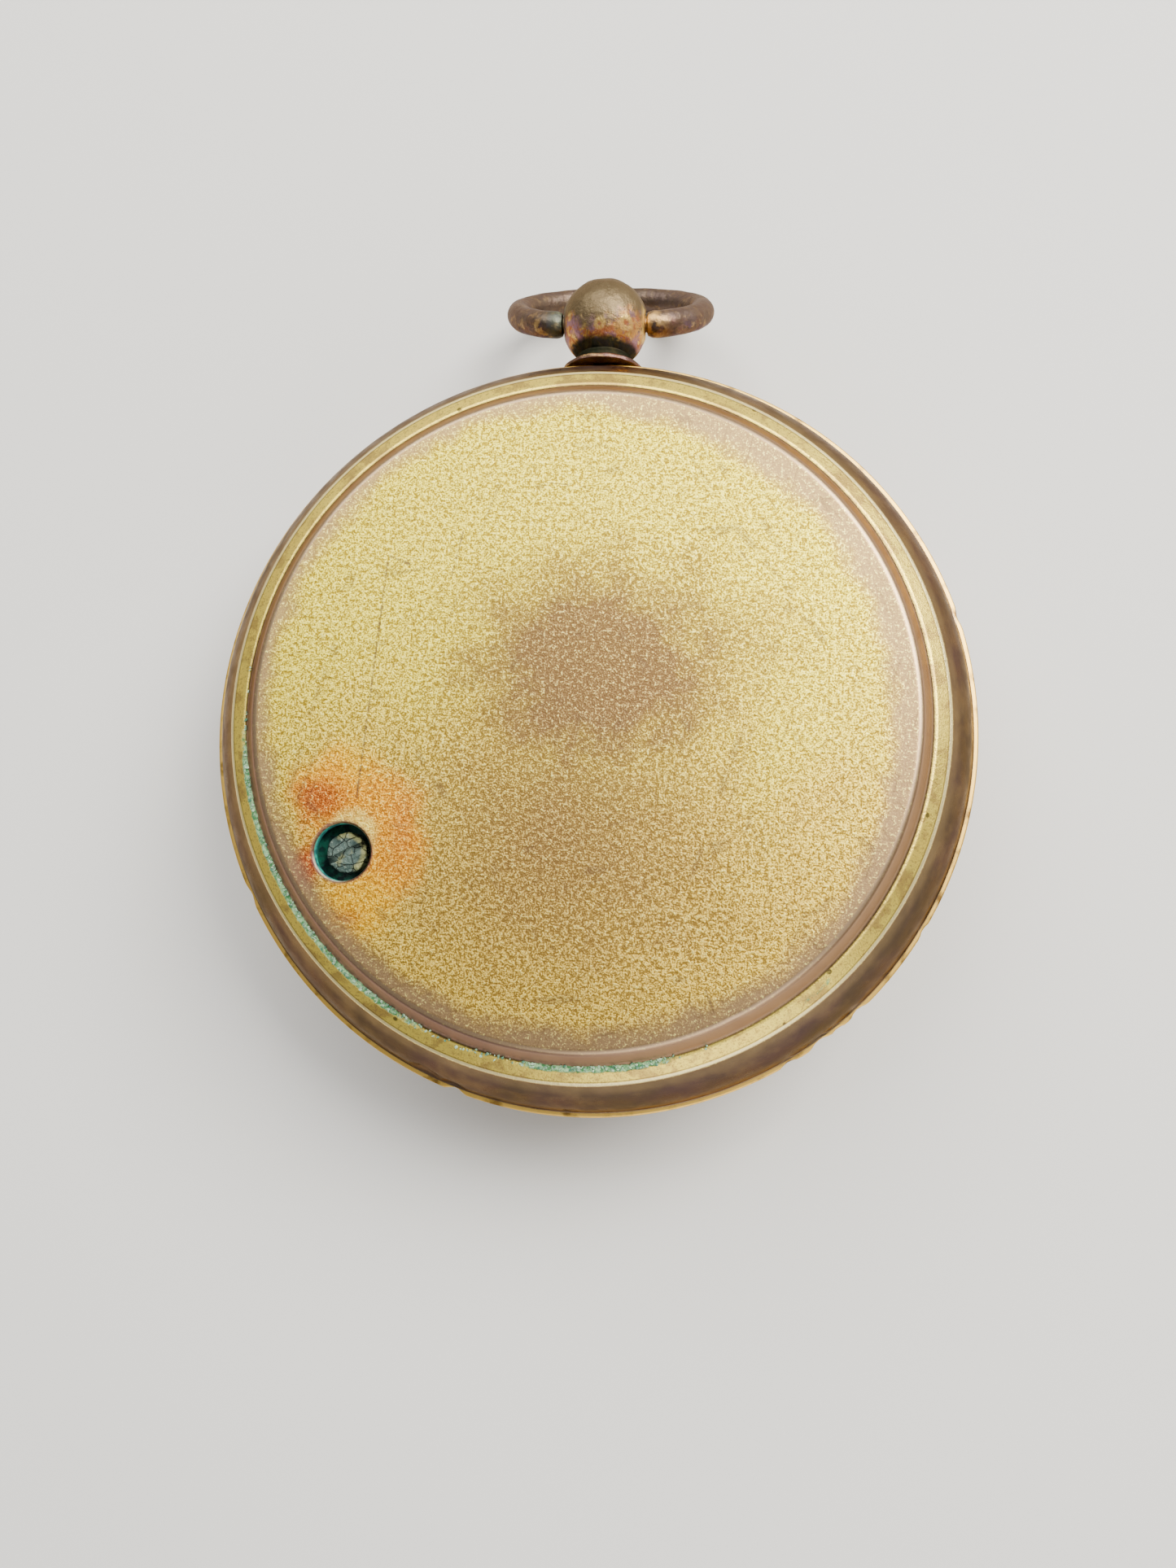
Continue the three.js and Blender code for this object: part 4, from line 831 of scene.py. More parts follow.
@dataclass(frozen=True)
class Tarnish(Finish):
    """Heat-coloured tarnish of the pendant, lighter on its top, partly from rubbing and partly as a painted
    highlight where it faces up, with green at the left pivot and a painted highlight in gold at the right one.

    Joint is the middle of the pivot in millimetres. Dark_band says where a black line lies along Y from it.
    """

    name: str = "tarnished pendant"
    joint: Point = (0.0, 28.85, -7.8)
    pivot_reach: float = 3.0
    dark_band: tuple[float, float] = (-2.75, -2.05)
    pale: Colour = (0.21, 0.155, 0.085)
    warm: Colour = (0.66, 0.34, 0.09)
    copper: Colour = (0.42, 0.15, 0.06)
    plum: Colour = (0.34, 0.18, 0.21)
    dark: Colour = (0.13, 0.085, 0.06)
    gold: Colour = (0.86, 0.58, 0.16)
    paleness: float = 1.0
    pits: tuple[Point, ...] = ()

    def surface(self, graph: Graph, here: Socket) -> Socket:
        """Layers copper, plum and gold patches under a light top that is partly rubbed and partly painted
        highlight, then adds the pivots' green and a painted highlight in gold at the right pivot.
        """
        patch = graph.noise(here, 0.85, 6.0, 0.68, 0.7)
        colour = graph.mix(graph.step(patch, 0.40, 0.52), self.dark, self.warm)
        colour = graph.mix(graph.step(patch, 0.5, 0.58), colour, self.copper)
        colour = graph.mix(graph.step(graph.noise(here, 0.95, 6.0, 0.65, 0.6), 0.48, 0.58), colour, self.plum)
        glow = graph.step(graph.noise(graph.vector("ADD", here, (7.0, 3.0, 1.0)), 1.5, 5.0, 0.6), 0.54, 0.66)
        colour = graph.stain(colour, glow, 0.8, self.gold)
        local = graph.vector("SUBTRACT", here, self.joint)
        across, out, up = graph.part(local)
        # painted highlight, partly real rubbing: lighter towards the outer end and on the side that faces up
        # towards the lamps
        top = graph.plus(graph.times(out, 0.8), graph.times(up, 0.35))
        ragged = graph.math("MULTIPLY_ADD", graph.sway(here, 0.6, 6.0, 0.65), 3.4, top)
        worn_and_painted_light = graph.times(graph.step(ragged, -0.35, 0.75), self.paleness)
        dull = graph.mix(graph.noise(here, 1.0, 6.0, 0.65), tuple(0.55 * c for c in self.pale), self.pale)
        colour = graph.mix(worn_and_painted_light, colour, dull)
        colour = self.pitted(graph, here, colour)
        start, end = self.dark_band
        wander = graph.math("MULTIPLY_ADD", graph.sway(here, 0.9, 3.0), 0.5, out)
        band = graph.times(graph.step(wander, start - 0.12, start), graph.step(wander, end + 0.3, end - 0.1))
        colour = graph.stain(colour, band, 0.92, (0.022, 0.028, 0.016))
        side = graph.math("ABSOLUTE", across)
        close = graph.step(graph.length(local), self.pivot_reach + 1.6, self.pivot_reach + 0.4)
        ring = graph.times(graph.step(side, self.pivot_reach - 0.5, self.pivot_reach - 0.1), close)
        left = graph.times(ring, graph.step(across, 0.0, -1.0))
        green = graph.use(Verdigris, Vector=here, Place=graph.times(left, 0.42))
        colour = graph.stain(colour, left, 0.55, (0.10, 0.15, 0.115))
        colour = graph.stain(colour, green["Mask"], 0.6, green["Color"])
        # painted highlight: gold on the right-hand pivot, the side the lamps light
        right = graph.times(ring, graph.step(across, 0.0, 1.0))
        lit = graph.times(right, graph.step(graph.noise(here, 1.3, 4.0), 0.36, 0.56))
        colour = graph.mix(lit, colour, self.gold)
        rough = graph.blend(worn_and_painted_light, graph.step(patch, 0.35, 0.65, 0.30, 0.46), 0.46)
        rough = graph.blend(graph.most(green["Mask"], band), rough, 0.75)
        metallic = graph.minus(1.0, graph.times(green["Mask"], 0.6))
        height = graph.plus(graph.noise(here, 1.2, 6.0, 0.62), graph.times(green["Height"], 0.5))
        return self.metal(graph, colour, rough, metallic, height, 0.14, edge=(0.60, 0.52, 0.48))

    def pitted(self, graph: Graph, here: Socket, colour: Socket) -> Socket:
        """Returns the colour with small ring marks of old corrosion."""
        for place in self.pits:
            wide = graph.mask(Spot, here, Centre=place, Radii=(0.45, 0.38, 0.9), Edge=0.5, Ragged=2.6)
            inner = graph.mask(Spot, here, Centre=place, Radii=(0.2, 0.2, 0.9), Edge=0.7, Ragged=1.2)
            ring = graph.minus(wide, inner, clamp=True)
            colour = graph.stain(colour, ring, 0.5, self.gold)
            colour = graph.stain(colour, inner, 0.35, self.copper)
        return colour


@dataclass(frozen=True)
class CorrodedSteel(Finish):
    """Crusted steel of the adjusting screw."""

    name: str = "corroded steel"
    centre: Point = HOLE_CENTRE
    crust_from: float = 0.95

    def surface(self, graph: Graph, here: Socket) -> Socket:
        """Mixes grey, green and ochre crust with deep pitting."""
        crust = graph.noise(here, 1.5, 6.0, 0.7, 0.5)
        colour = graph.mix(graph.step(crust, 0.36, 0.66), (0.035, 0.065, 0.06), (0.115, 0.165, 0.145))
        local = graph.vector("SUBTRACT", here, self.centre)
        rim = graph.mask(Zone, local, Inner=self.crust_from, Outer=3.0, Fade=0.12)
        side = graph.mask(Sector, local, Angle=30.0, Spread=75.0, Fade=30.0)
        ochre = graph.step(graph.noise(here, 1.1, 5.0, 0.6), 0.56, 0.68)
        ochre = graph.most(graph.times(ochre, 0.6), graph.times(rim, side))
        colour = graph.stain(colour, ochre, 0.85, (0.36, 0.36, 0.15))
        pale = graph.step(graph.noise(here, 3.0, 5.0), 0.6, 0.7)
        colour = graph.stain(colour, pale, 0.6, (0.36, 0.44, 0.36))
        cracks = graph.step(graph.cells(here, 1.3, feature="DISTANCE_TO_EDGE"), 0.05, 0.0)
        colour = graph.stain(colour, cracks, 0.8, (0.01, 0.012, 0.01))
        height = graph.minus(crust, graph.times(cracks, 0.5))
        return self.metal(graph, colour, 0.62, 0.35, height, 0.25)


@dataclass(frozen=True)
class StainedPlate(Finish):
    """Lacquered brass of the base plate, deep green under the access hole."""

    name: str = "stained base plate"
    hole: Point = HOLE_CENTRE

    def surface(self, graph: Graph, here: Socket) -> Socket:
        """Blends lacquered brass into wet-looking green near the screw."""
        grain = graph.noise(graph.vector("MULTIPLY", here, (0.3, 8.0, 1.0)), 1.0, 3.0)
        brass = graph.mix(grain, (0.60, 0.40, 0.14), (0.74, 0.54, 0.22))
        flat = graph.flat(here)
        spot = graph.mask(Spot, flat, Centre=self.hole, Radii=(4.2, 4.2, 9.0), Edge=0.4, Ragged=0.8)
        shade = graph.step(graph.noise(here, 1.6, 5.0), 0.42, 0.62)
        teal = graph.mix(shade, (0.004, 0.05, 0.055), (0.01, 0.24, 0.16))
        rough = graph.blend(spot, 0.32, 0.5)
        metallic = graph.minus(1.0, graph.times(spot, 0.9))
        colour = graph.mix(spot, brass, teal)
        return self.metal(graph, colour, rough, metallic, graph.noise(here, 2.0, 4.0), 0.08, coat=0.3)


@dataclass(frozen=True)
class MovementBrass(Finish):
    """Straight-grained lacquered brass."""

    name: str = "movement brass"

    def surface(self, graph: Graph, here: Socket) -> Socket:
        """Stretches a noise into a straight grain and ages it in patches."""
        grain = graph.noise(graph.vector("MULTIPLY", here, (0.5, 12.0, 0.5)), 1.0, 3.0)
        colour = graph.mix(grain, (0.62, 0.43, 0.16), (0.78, 0.58, 0.25))
        age = graph.mask(Patches, here, Size=2.5, Cover=0.3, Softness=0.1)
        colour = graph.stain(colour, age, 0.5, (0.34, 0.20, 0.08))
        return self.metal(graph, colour, graph.blend(grain, 0.26, 0.4), 1.0, grain, 0.01, 0.25)


@dataclass(frozen=True)
class Steel(Finish):
    """Polished or blued steel, with fine grain and a few spots."""

    name: str = "polished steel"
    light: Colour = (0.62, 0.63, 0.65)
    shade: Colour = (0.42, 0.43, 0.45)
    spots: Colour = (0.20, 0.12, 0.07)

    def surface(self, graph: Graph, here: Socket) -> Socket:
        """Mixes two tones along a fine grain and adds a few dark spots."""
        grain = graph.noise(graph.vector("MULTIPLY", here, (1.0, 14.0, 1.0)), 1.0, 3.0)
        colour = graph.mix(grain, self.shade, self.light)
        spot = graph.mask(Patches, here, Size=0.7, Cover=0.16, Softness=0.05)
        colour = graph.stain(colour, spot, 0.7, self.spots)
        return self.metal(graph, colour, graph.blend(grain, 0.2, 0.32), 1.0, grain, 0.008)


@dataclass(frozen=True)
class NickelSilver(Finish):
    """Satin corrugated sheet of the capsule, with turning rings."""

    name: str = "nickel silver"

    def surface(self, graph: Graph, here: Socket) -> Socket:
        """Rings the sheet with fine concentric turning marks."""
        radius = graph.length(graph.flat(here))
        rings = graph.noise(graph.joined(radius, 0.0, 0.0), 6.0, 3.0)
        colour = graph.mix(rings, (0.48, 0.46, 0.40), (0.66, 0.64, 0.57))
        tint = graph.mask(Patches, here, Size=4.0, Cover=0.3, Softness=0.12)
        colour = graph.stain(colour, tint, 0.5, (0.42, 0.33, 0.20))
        return self.metal(graph, colour, graph.blend(rings, 0.28, 0.42), 1.0, rings, 0.01)


@dataclass(frozen=True)
class SilveredDial(Finish):
    """Matt silvering rubbed on in a circular grain, a little yellowed and spotted."""

    name: str = "silvered dial"

    def surface(self, graph: Graph, here: Socket) -> Socket:
        """Adds a circular grain, ageing towards the rim and small spots."""
        radius = graph.length(graph.flat(here))
        x, y, _ = graph.part(here)
        turn = graph.math("ARCTAN2", y, x)
        grain = graph.noise(graph.joined(graph.times(radius, 9.0), turn, 0.0), 1.0, 3.0)
        colour = graph.mix(grain, (0.66, 0.64, 0.58), (0.80, 0.79, 0.74))
        old = graph.step(graph.plus(radius, graph.times(graph.noise(here, 0.3, 4.0), 8.0)), 18.0, 26.0)
        colour = graph.stain(colour, old, 0.5, (0.62, 0.52, 0.36))
        spot = graph.mask(Patches, here, Size=0.9, Cover=0.14, Softness=0.05)
        colour = graph.stain(colour, spot, 0.5, (0.30, 0.22, 0.14))
        return self.metal(graph, colour, graph.blend(grain, 0.36, 0.5), 0.85, grain, 0.01)


@dataclass(frozen=True)
class Wax(Finish):
    """Black engraver's wax in the dial's marks."""

    name: str = "black wax"

    def surface(self, graph: Graph, here: Socket) -> Socket:
        """Shades the wax slightly so that it isn't one flat black."""
        speck = graph.noise(here, 3.0, 3.0)
        colour = graph.mix(speck, (0.008, 0.008, 0.009), (0.035, 0.032, 0.03))
        return self.metal(graph, colour, graph.blend(speck, 0.35, 0.55), 0.0, speck, 0.01)


@dataclass(frozen=True)
class VerdigrisCrust(Finish):
    """Loose green crumbs of copper salts."""

    name: str = "verdigris crumbs"

    def surface(self, graph: Graph, here: Socket) -> Socket:
        """Shades the crumbs from deep green to chalky mint."""
        shade = graph.noise(here, 3.0, 4.0)
        colour = graph.mix(graph.step(shade, 0.35, 0.65), (0.05, 0.17, 0.10), (0.42, 0.62, 0.42))
        return self.metal(graph, colour, 0.85, 0.0, shade, 0.1)


@dataclass(frozen=True)
class Crystal(Finish):
    """Clear bevelled glass with faint wiping marks."""

    name: str = "crystal glass"

    def surface(self, graph: Graph, here: Socket) -> Socket:
        """Makes clear glass with a little haze in its roughness, which lets light through to the dial."""
        shader = graph.put("ShaderNodeBsdfPrincipled")
        shader.inputs["Base Color"].default_value = (0.96, 0.98, 0.97, 1.0)
        haze = graph.mask(HairLines, here, Spacing=2.0, Amount=0.3)
        graph.feed(shader.inputs["Roughness"], graph.plus(haze, 0.015))
        shader.inputs["IOR"].default_value = 1.5
        shader.inputs["Transmission Weight"].default_value = 1.0
        path = graph.put("ShaderNodeLightPath")
        passing = graph.most(path.outputs["Is Shadow Ray"], path.outputs["Is Diffuse Ray"])
        clear = graph.put("ShaderNodeBsdfTransparent")
        return self.layered(graph, passing, shader.outputs[0], clear.outputs[0])


@dataclass(frozen=True)
class StudioFloor(Finish):
    """Plain pale table top, clear from below so that the dial can be looked at."""

    name: str = "pale floor"
    colour: Colour = (0.74, 0.74, 0.73)

    def surface(self, graph: Graph, here: Socket) -> Socket:
        """Mixes a matt pale surface with transparency on its back."""
        shader = graph.put("ShaderNodeBsdfPrincipled")
        tone = graph.mix(graph.noise(here, 0.02, 3.0), self.colour, tuple(0.97 * c for c in self.colour))
        graph.feed(shader.inputs["Base Color"], tone)
        shader.inputs["Roughness"].default_value = 0.75
        clear = graph.put("ShaderNodeBsdfTransparent")
        below = graph.put("ShaderNodeNewGeometry").outputs["Backfacing"]
        return self.layered(graph, below, shader.outputs[0], clear.outputs[0])


class Metal(Enum):
    """The plain metals of the movement."""

    BRASS = MovementBrass()
    STEEL = Steel()
    BLUED = Steel("blued steel", light=(0.06, 0.10, 0.26), shade=(0.02, 0.035, 0.11),
                  spots=(0.10, 0.05, 0.03))
    NICKEL = NickelSilver()


# ---- Meshes ------------------------------------------------------------------------------------------


def rounded(corners: Iterable[tuple[float, float, float]], closed: bool = False, steps: int = 5) -> Section:
    """Rounds the corners of a section.

    Args:
        corners: radius, depth and rounding of each corner, in millimetres.
        closed: whether the last corner joins the first.
        steps: points on each rounding.

    Returns:
        The section's points.
    """
    listed = list(corners)
    points: Section = []
    count = len(listed)
    for index, (radius, depth, rounding) in enumerate(listed):
        here = Vector((radius, depth))
        inner = closed or 0 < index < count - 1
        if rounding <= 0 or not inner:
            points.append((radius, depth))
            continue
        before = Vector(listed[index - 1][:2])
        after = Vector(listed[(index + 1) % count][:2])
        start = here + (before - here).normalized() * rounding
        end = here + (after - here).normalized() * rounding
        for i in range(steps + 1):
            t = i / steps
            point = start * (1 - t) ** 2 + here * 2 * t * (1 - t) + end * t ** 2
            points.append((point.x, point.y))
    return points


def refined(section: Section, longest: float, closed: bool = False, guard: float = 0.06) -> Section:
    """Splits the long stretches of a section and adds a point just inside each of their ends."""
    result: Section = []
    pairs = list(zip(section, section[1:] + section[:1]))
    if not closed:
        pairs = pairs[:-1]
    for first, second in pairs:
        start, end = Vector(first), Vector(second)
        length = (end - start).length
        result.append(first)
        if length < 3 * guard:
            continue
        count = max(1, math.ceil(length / longest))
        shares = [guard / length, *(i / count for i in range(1, count)), 1 - guard / length]
        for share in sorted(shares):
            point = start.lerp(end, share)
            result.append((point.x, point.y))
    if not closed:
        result.append(section[-1])
    return result


def turned(section: Section, segments: int, closed: bool = False,
           place: Matrix | None = None) -> bpy.types.Mesh:
    """Turns a section about the case axis.

    Args:
        section: radius and depth of each point, in millimetres.
        segments: how many steps a full turn has.
        closed: whether the section is a loop clear of the axis.
        place: where the turned body goes, in metres.

    Returns:
        A closed mesh in metres with its faces pointing out.
    """
    mesh = bmesh.new()
    rings: list[list[bmesh.types.BMVert]] = []
    for radius, depth in section:
        if radius < 1e-6:
            rings.append([mesh.verts.new((0.0, 0.0, -depth * MM))])
            continue
        ring = []
        for i in range(segments):
            angle = 2 * math.pi * i / segments
            x, y = radius * MM * math.cos(angle), radius * MM * math.sin(angle)
            ring.append(mesh.verts.new((x, y, -depth * MM)))
        rings.append(ring)
    pairs = list(zip(rings, rings[1:] + rings[:1] if closed else rings[1:]))
    for first, second in pairs:
        for i in range(segments):
            j = (i + 1) % segments
            corners = [ring[k % len(ring)] for ring, k in ((first, i), (first, j), (second, j), (second, i))]
            unique = list(dict.fromkeys(corners))
            if len(unique) > 2:
                mesh.faces.new(unique)
    return finished(mesh, place)


def plug(radius: float, start: float, end: float, segments: int,
         place: Matrix | None = None) -> bpy.types.Mesh:
    """Returns a round bar between two depths, to cut with. Sizes are in millimetres."""
    return turned([(0.0, start), (radius, start), (radius, end), (0.0, end)], segments, place=place)


def bridged(mesh: bmesh.types.BMesh, rings: Sequence[Sequence[bmesh.types.BMVert]]) -> None:
    """Joins each ring of points to the next, and closes the two ends."""
    for first, second in zip(rings, rings[1:]):
        for k in range(len(first)):
            j = (k + 1) % len(first)
            mesh.faces.new((first[k], first[j], second[j], second[k]))
    mesh.faces.new(rings[0])
    mesh.faces.new(rings[-1])


def creased(data: bpy.types.Mesh, degrees: float) -> bpy.types.Mesh:
    """Marks the edges that turn by more than an angle as sharp, and returns the mesh."""
    data.set_sharp_from_angle(angle=math.radians(degrees))
    return data


def finished(mesh: bmesh.types.BMesh, place: Matrix | None = None, smooth: bool = True) -> bpy.types.Mesh:
    """Merges a mesh's doubles, turns its faces out and moves it into place."""
    bmesh.ops.remove_doubles(mesh, verts=mesh.verts, dist=1e-8)
    bmesh.ops.recalc_face_normals(mesh, faces=mesh.faces)
    if place is not None:
        mesh.transform(place)
    for face in mesh.faces:
        face.smooth = smooth
    data = bpy.data.meshes.new("piece")
    mesh.to_mesh(data)
    mesh.free()
    return data


def swept(path: Sequence[Vector], radii: Sequence[float], sides: int, place: Matrix) -> bpy.types.Mesh:
    """Sweeps a round section along a path that lies in the XY plane.

    Args:
        path: points in millimetres.
        radii: the section's radius at each point.
        sides: sides of the section.
        place: where the body goes, in metres.

    Returns:
        A closed mesh in metres.
    """
    mesh = bmesh.new()
    rings = []
    for i, (point, radius) in enumerate(zip(path, radii)):
        ahead = path[min(i + 1, len(path) - 1)] - path[max(i - 1, 0)]
        side = Vector((-ahead.y, ahead.x, 0)).normalized()
        ring = []
        for k in range(sides):
            angle = 2 * math.pi * k / sides
            offset = side * math.cos(angle) + Vector((0, 0, 1)) * math.sin(angle)
            ring.append(mesh.verts.new((point + offset * radius) * MM))
        rings.append(ring)
    bridged(mesh, rings)
    return finished(mesh, place)


def linked(name: str, data: bpy.types.ID) -> bpy.types.Object:
    """Adds an object to the scene."""
    thing = bpy.data.objects.new(name, data)
    bpy.context.scene.collection.objects.link(thing)
    return thing


def grown(thing: bpy.types.Object) -> bpy.types.Mesh:
    """Returns the plain mesh that an object makes, and removes the object."""
    data = bpy.data.meshes.new_from_object(thing.evaluated_get(bpy.context.evaluated_depsgraph_get()))
    bpy.data.objects.remove(thing)
    return data


def piece(name: str, data: bpy.types.Mesh, body: str, finish: Finish,
          stands_for: Sequence[str] = ()) -> bpy.types.Object:
    """Adds a finished piece to the object.

    Args:
        name: the piece's name.
        data: its mesh, in metres in the model's frame.
        body: the body it rides on.
        finish: its finish.
        stands_for: the CAD nodes it replaces.

    Returns:
        The new object.
    """
    data.name = name
    data.materials.clear()
    data.materials.append(finish.material())
    thing = linked(name, data)
    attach(thing, body)
    if stands_for:
        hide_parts(*stands_for)
    LOG.info("%s: %d faces on %s", name, len(data.polygons), body)
    return thing


def carve(data: bpy.types.Mesh, tools: Sequence[bpy.types.Mesh]) -> bpy.types.Mesh:
    """Returns the mesh with the tools cut out of it."""
    thing = linked("carved", data)
    cutters = [linked("cutter", tool) for tool in tools]
    for cutter in cutters:
        modifier = thing.modifiers.new("cut", "BOOLEAN")
        modifier.operation = "DIFFERENCE"
        modifier.solver = "EXACT"
        modifier.object = cutter
    result = grown(thing)
    for cutter in cutters:
        bpy.data.objects.remove(cutter)
    return result


@dataclass(frozen=True)
class Dent:
    """A knock in a surface: its middle, its reach and how far it pushes, all in millimetres."""

    centre: Point
    reach: float
    push: Point


def press(data: bpy.types.Mesh, dents: Sequence[Dent]) -> None:
    """Presses dents into a mesh."""
    for dent in dents:
        centre, push = Vector(dent.centre), Vector(dent.push)
        for vertex in data.vertices:
            away = (vertex.co / MM - centre).length / dent.reach
            if away < 1:
                vertex.co += push * MM * (1 - away * away) ** 2


def roughen(data: bpy.types.Mesh, depth: float, size: float) -> None:
    """Moves a mesh's points along their normals by a smooth noise, in millimetres."""
    normals = [vertex.normal.copy() for vertex in data.vertices]
    for vertex, normal in zip(data.vertices, normals):
        vertex.co += normal * noise.noise(vertex.co / (MM * size)) * depth * MM


def polar(radius: float, degrees: float, depth: float = 0.0) -> Point:
    """Returns a point given by its radius, direction and depth, in millimetres."""
    angle = math.radians(degrees)
    return (radius * math.cos(angle), radius * math.sin(angle), -depth)


# ---- Repeated shapes made with geometry nodes --------------------------------------------------------


class Pattern:
    """A geometry node tree that makes repeated shapes; its inputs are named sizes in metres."""

    label = ""
    inputs: dict[str, str] = {}

    @classmethod
    def tree(cls) -> bpy.types.NodeTree:
        """Returns the pattern's tree, built on its first use."""
        found = bpy.data.node_groups.get(cls.label)
        if found:
            return found
        tree = bpy.data.node_groups.new(cls.label, "GeometryNodeTree")
        for name, kind in {**cls.inputs, "Material": "Material"}.items():
            tree.interface.new_socket(name=name, in_out="INPUT", socket_type=f"NodeSocket{kind}")
        tree.interface.new_socket(name="Geometry", in_out="OUTPUT", socket_type="NodeSocketGeometry")
        graph = Graph(tree)
        entry = graph.put("NodeGroupInput")
        instances = cls.build(graph, {name: entry.outputs[name] for name in cls.inputs})
        solid = graph.put("GeometryNodeRealizeInstances")
        graph.feed(solid.inputs[0], instances)
        dressed = graph.put("GeometryNodeSetMaterial")
        graph.feed(dressed.inputs["Geometry"], solid.outputs[0])
        graph.feed(dressed.inputs["Material"], entry.outputs["Material"])
        leave = graph.put("NodeGroupOutput")
        graph.feed(leave.inputs["Geometry"], dressed.outputs[0])
        return tree

    @classmethod
    def build(cls, graph: Graph, given: Sockets) -> Socket:
        """Adds the pattern's own nodes and returns its instances."""
        raise NotImplementedError

    @classmethod
    def mesh(cls, finish: Finish, **sizes: float) -> bpy.types.Mesh:
        """Grows the pattern.

        Args:
            finish: the finish of every copy.
            sizes: the tree's inputs by name.

        Returns:
            One plain mesh of all the copies.
        """
        tree = cls.tree()
        holder = linked(cls.label, bpy.data.meshes.new(cls.label))
        modifier = holder.modifiers.new(cls.label, "NODES")
        modifier.node_group = tree
        values = {**sizes, "Material": finish.material()}
        for item in tree.interface.items_tree:
            if item.in_out == "INPUT" and item.name in values:
                modifier[item.identifier] = values[item.name]
        return grown(holder)

    @staticmethod
    def share(graph: Graph, count: Socket) -> Socket:
        """Returns each copy's place along the row, from 0 to 1."""
        index = graph.put("GeometryNodeInputIndex").outputs[0]
        return graph.math("DIVIDE", index, graph.most(graph.minus(count, 1.0), 1.0))

    @staticmethod
    def random(graph: Graph, low: Value, high: Value, seed: int) -> Socket:
        """Returns a number drawn for each copy."""
        node = graph.put("FunctionNodeRandomValue", data_type="FLOAT")
        graph.feed(node.inputs[2], low)
        graph.feed(node.inputs[3], high)
        node.inputs["Seed"].default_value = seed
        return node.outputs[1]

    @staticmethod
    def set_out(graph: Graph, count: Socket, place: Socket, shape: Socket,
                turn: Value, scale: Value = (1.0, 1.0, 1.0)) -> Socket:
        """Puts a copy of a shape at each place.

        Args:
            graph: the tree's graph.
            count: how many copies.
            place: each copy's position.
            shape: the copied geometry.
            turn: each copy's rotation, as Euler angles.
            scale: each copy's scale.

        Returns:
            The instances.
        """
        row = graph.put("GeometryNodeMeshLine")
        graph.feed(row.inputs["Count"], count)
        moved = graph.put("GeometryNodeSetPosition")
        graph.feed(moved.inputs["Geometry"], row.outputs[0])
        graph.feed(moved.inputs["Position"], place)
        copies = graph.put("GeometryNodeInstanceOnPoints")
        graph.feed(copies.inputs["Points"], moved.outputs[0])
        graph.feed(copies.inputs["Instance"], shape)
        euler = graph.put("FunctionNodeEulerToRotation")
        graph.feed(euler.inputs[0], turn)
        graph.feed(copies.inputs["Rotation"], euler.outputs[0])
        graph.feed(copies.inputs["Scale"], scale)
        return copies.outputs[0]


class ScaleMarks(Pattern):
    """Short bars set round an arc, such as a dial's divisions."""

    label = "Scale marks"
    inputs = {"Count": "Int", "Start": "Float", "Sweep": "Float", "Radius": "Float", "Length": "Float",
              "Width": "Float", "Thickness": "Float", "Level": "Float"}

    @classmethod
    def build(cls, graph: Graph, given: Sockets) -> Socket:
        """Copies a bar at even angles, each pointing at the middle."""
        angle = graph.math("MULTIPLY_ADD", cls.share(graph, given["Count"]), given["Sweep"], given["Start"])
        x = graph.times(graph.math("COSINE", angle), given["Radius"])
        y = graph.times(graph.math("SINE", angle), given["Radius"])
        bar = graph.put("GeometryNodeMeshCube")
        graph.feed(bar.inputs["Size"], graph.joined(given["Length"], given["Width"], given["Thickness"]))
        return cls.set_out(graph, given["Count"], graph.joined(x, y, given["Level"]), bar.outputs[0],
                           graph.joined(0.0, 0.0, angle))


class SaltCrumbs(Pattern):
    """Crumbs of crust strewn along an arc."""

    label = "Salt crumbs"
    inputs = {"Count": "Int", "Start": "Float", "Sweep": "Float", "Radius": "Float", "Spread": "Float",
              "Size": "Float", "Level": "Float"}

    @classmethod
    def build(cls, graph: Graph, given: Sockets) -> Socket:
        """Copies a coarse ball at random places and sizes along the arc."""
        lump = graph.put("GeometryNodeMeshIcoSphere")
        lump.inputs["Subdivisions"].default_value = 1
        graph.feed(lump.inputs["Radius"], given["Size"])
        share = graph.plus(cls.random(graph, -0.5, 0.5, 11), cls.random(graph, -0.5, 0.5, 12))
        angle = graph.math("MULTIPLY_ADD", share, given["Sweep"], given["Start"])
        off = graph.times(cls.random(graph, -1.0, 1.0, 13), given["Spread"])
        radius = graph.plus(given["Radius"], off)
        x = graph.times(graph.math("COSINE", angle), radius)
        y = graph.times(graph.math("SINE", angle), radius)
        level = graph.minus(given["Level"], graph.times(off, 0.35))
        scale = graph.joined(cls.random(graph, 0.4, 1.5, 14), cls.random(graph, 0.4, 1.4, 15),
                             cls.random(graph, 0.25, 0.7, 16))
        turn = graph.joined(0.0, 0.0, cls.random(graph, 0.0, 6.28, 17))
        return cls.set_out(graph, given["Count"], graph.joined(x, y, level), lump.outputs[0], turn, scale)


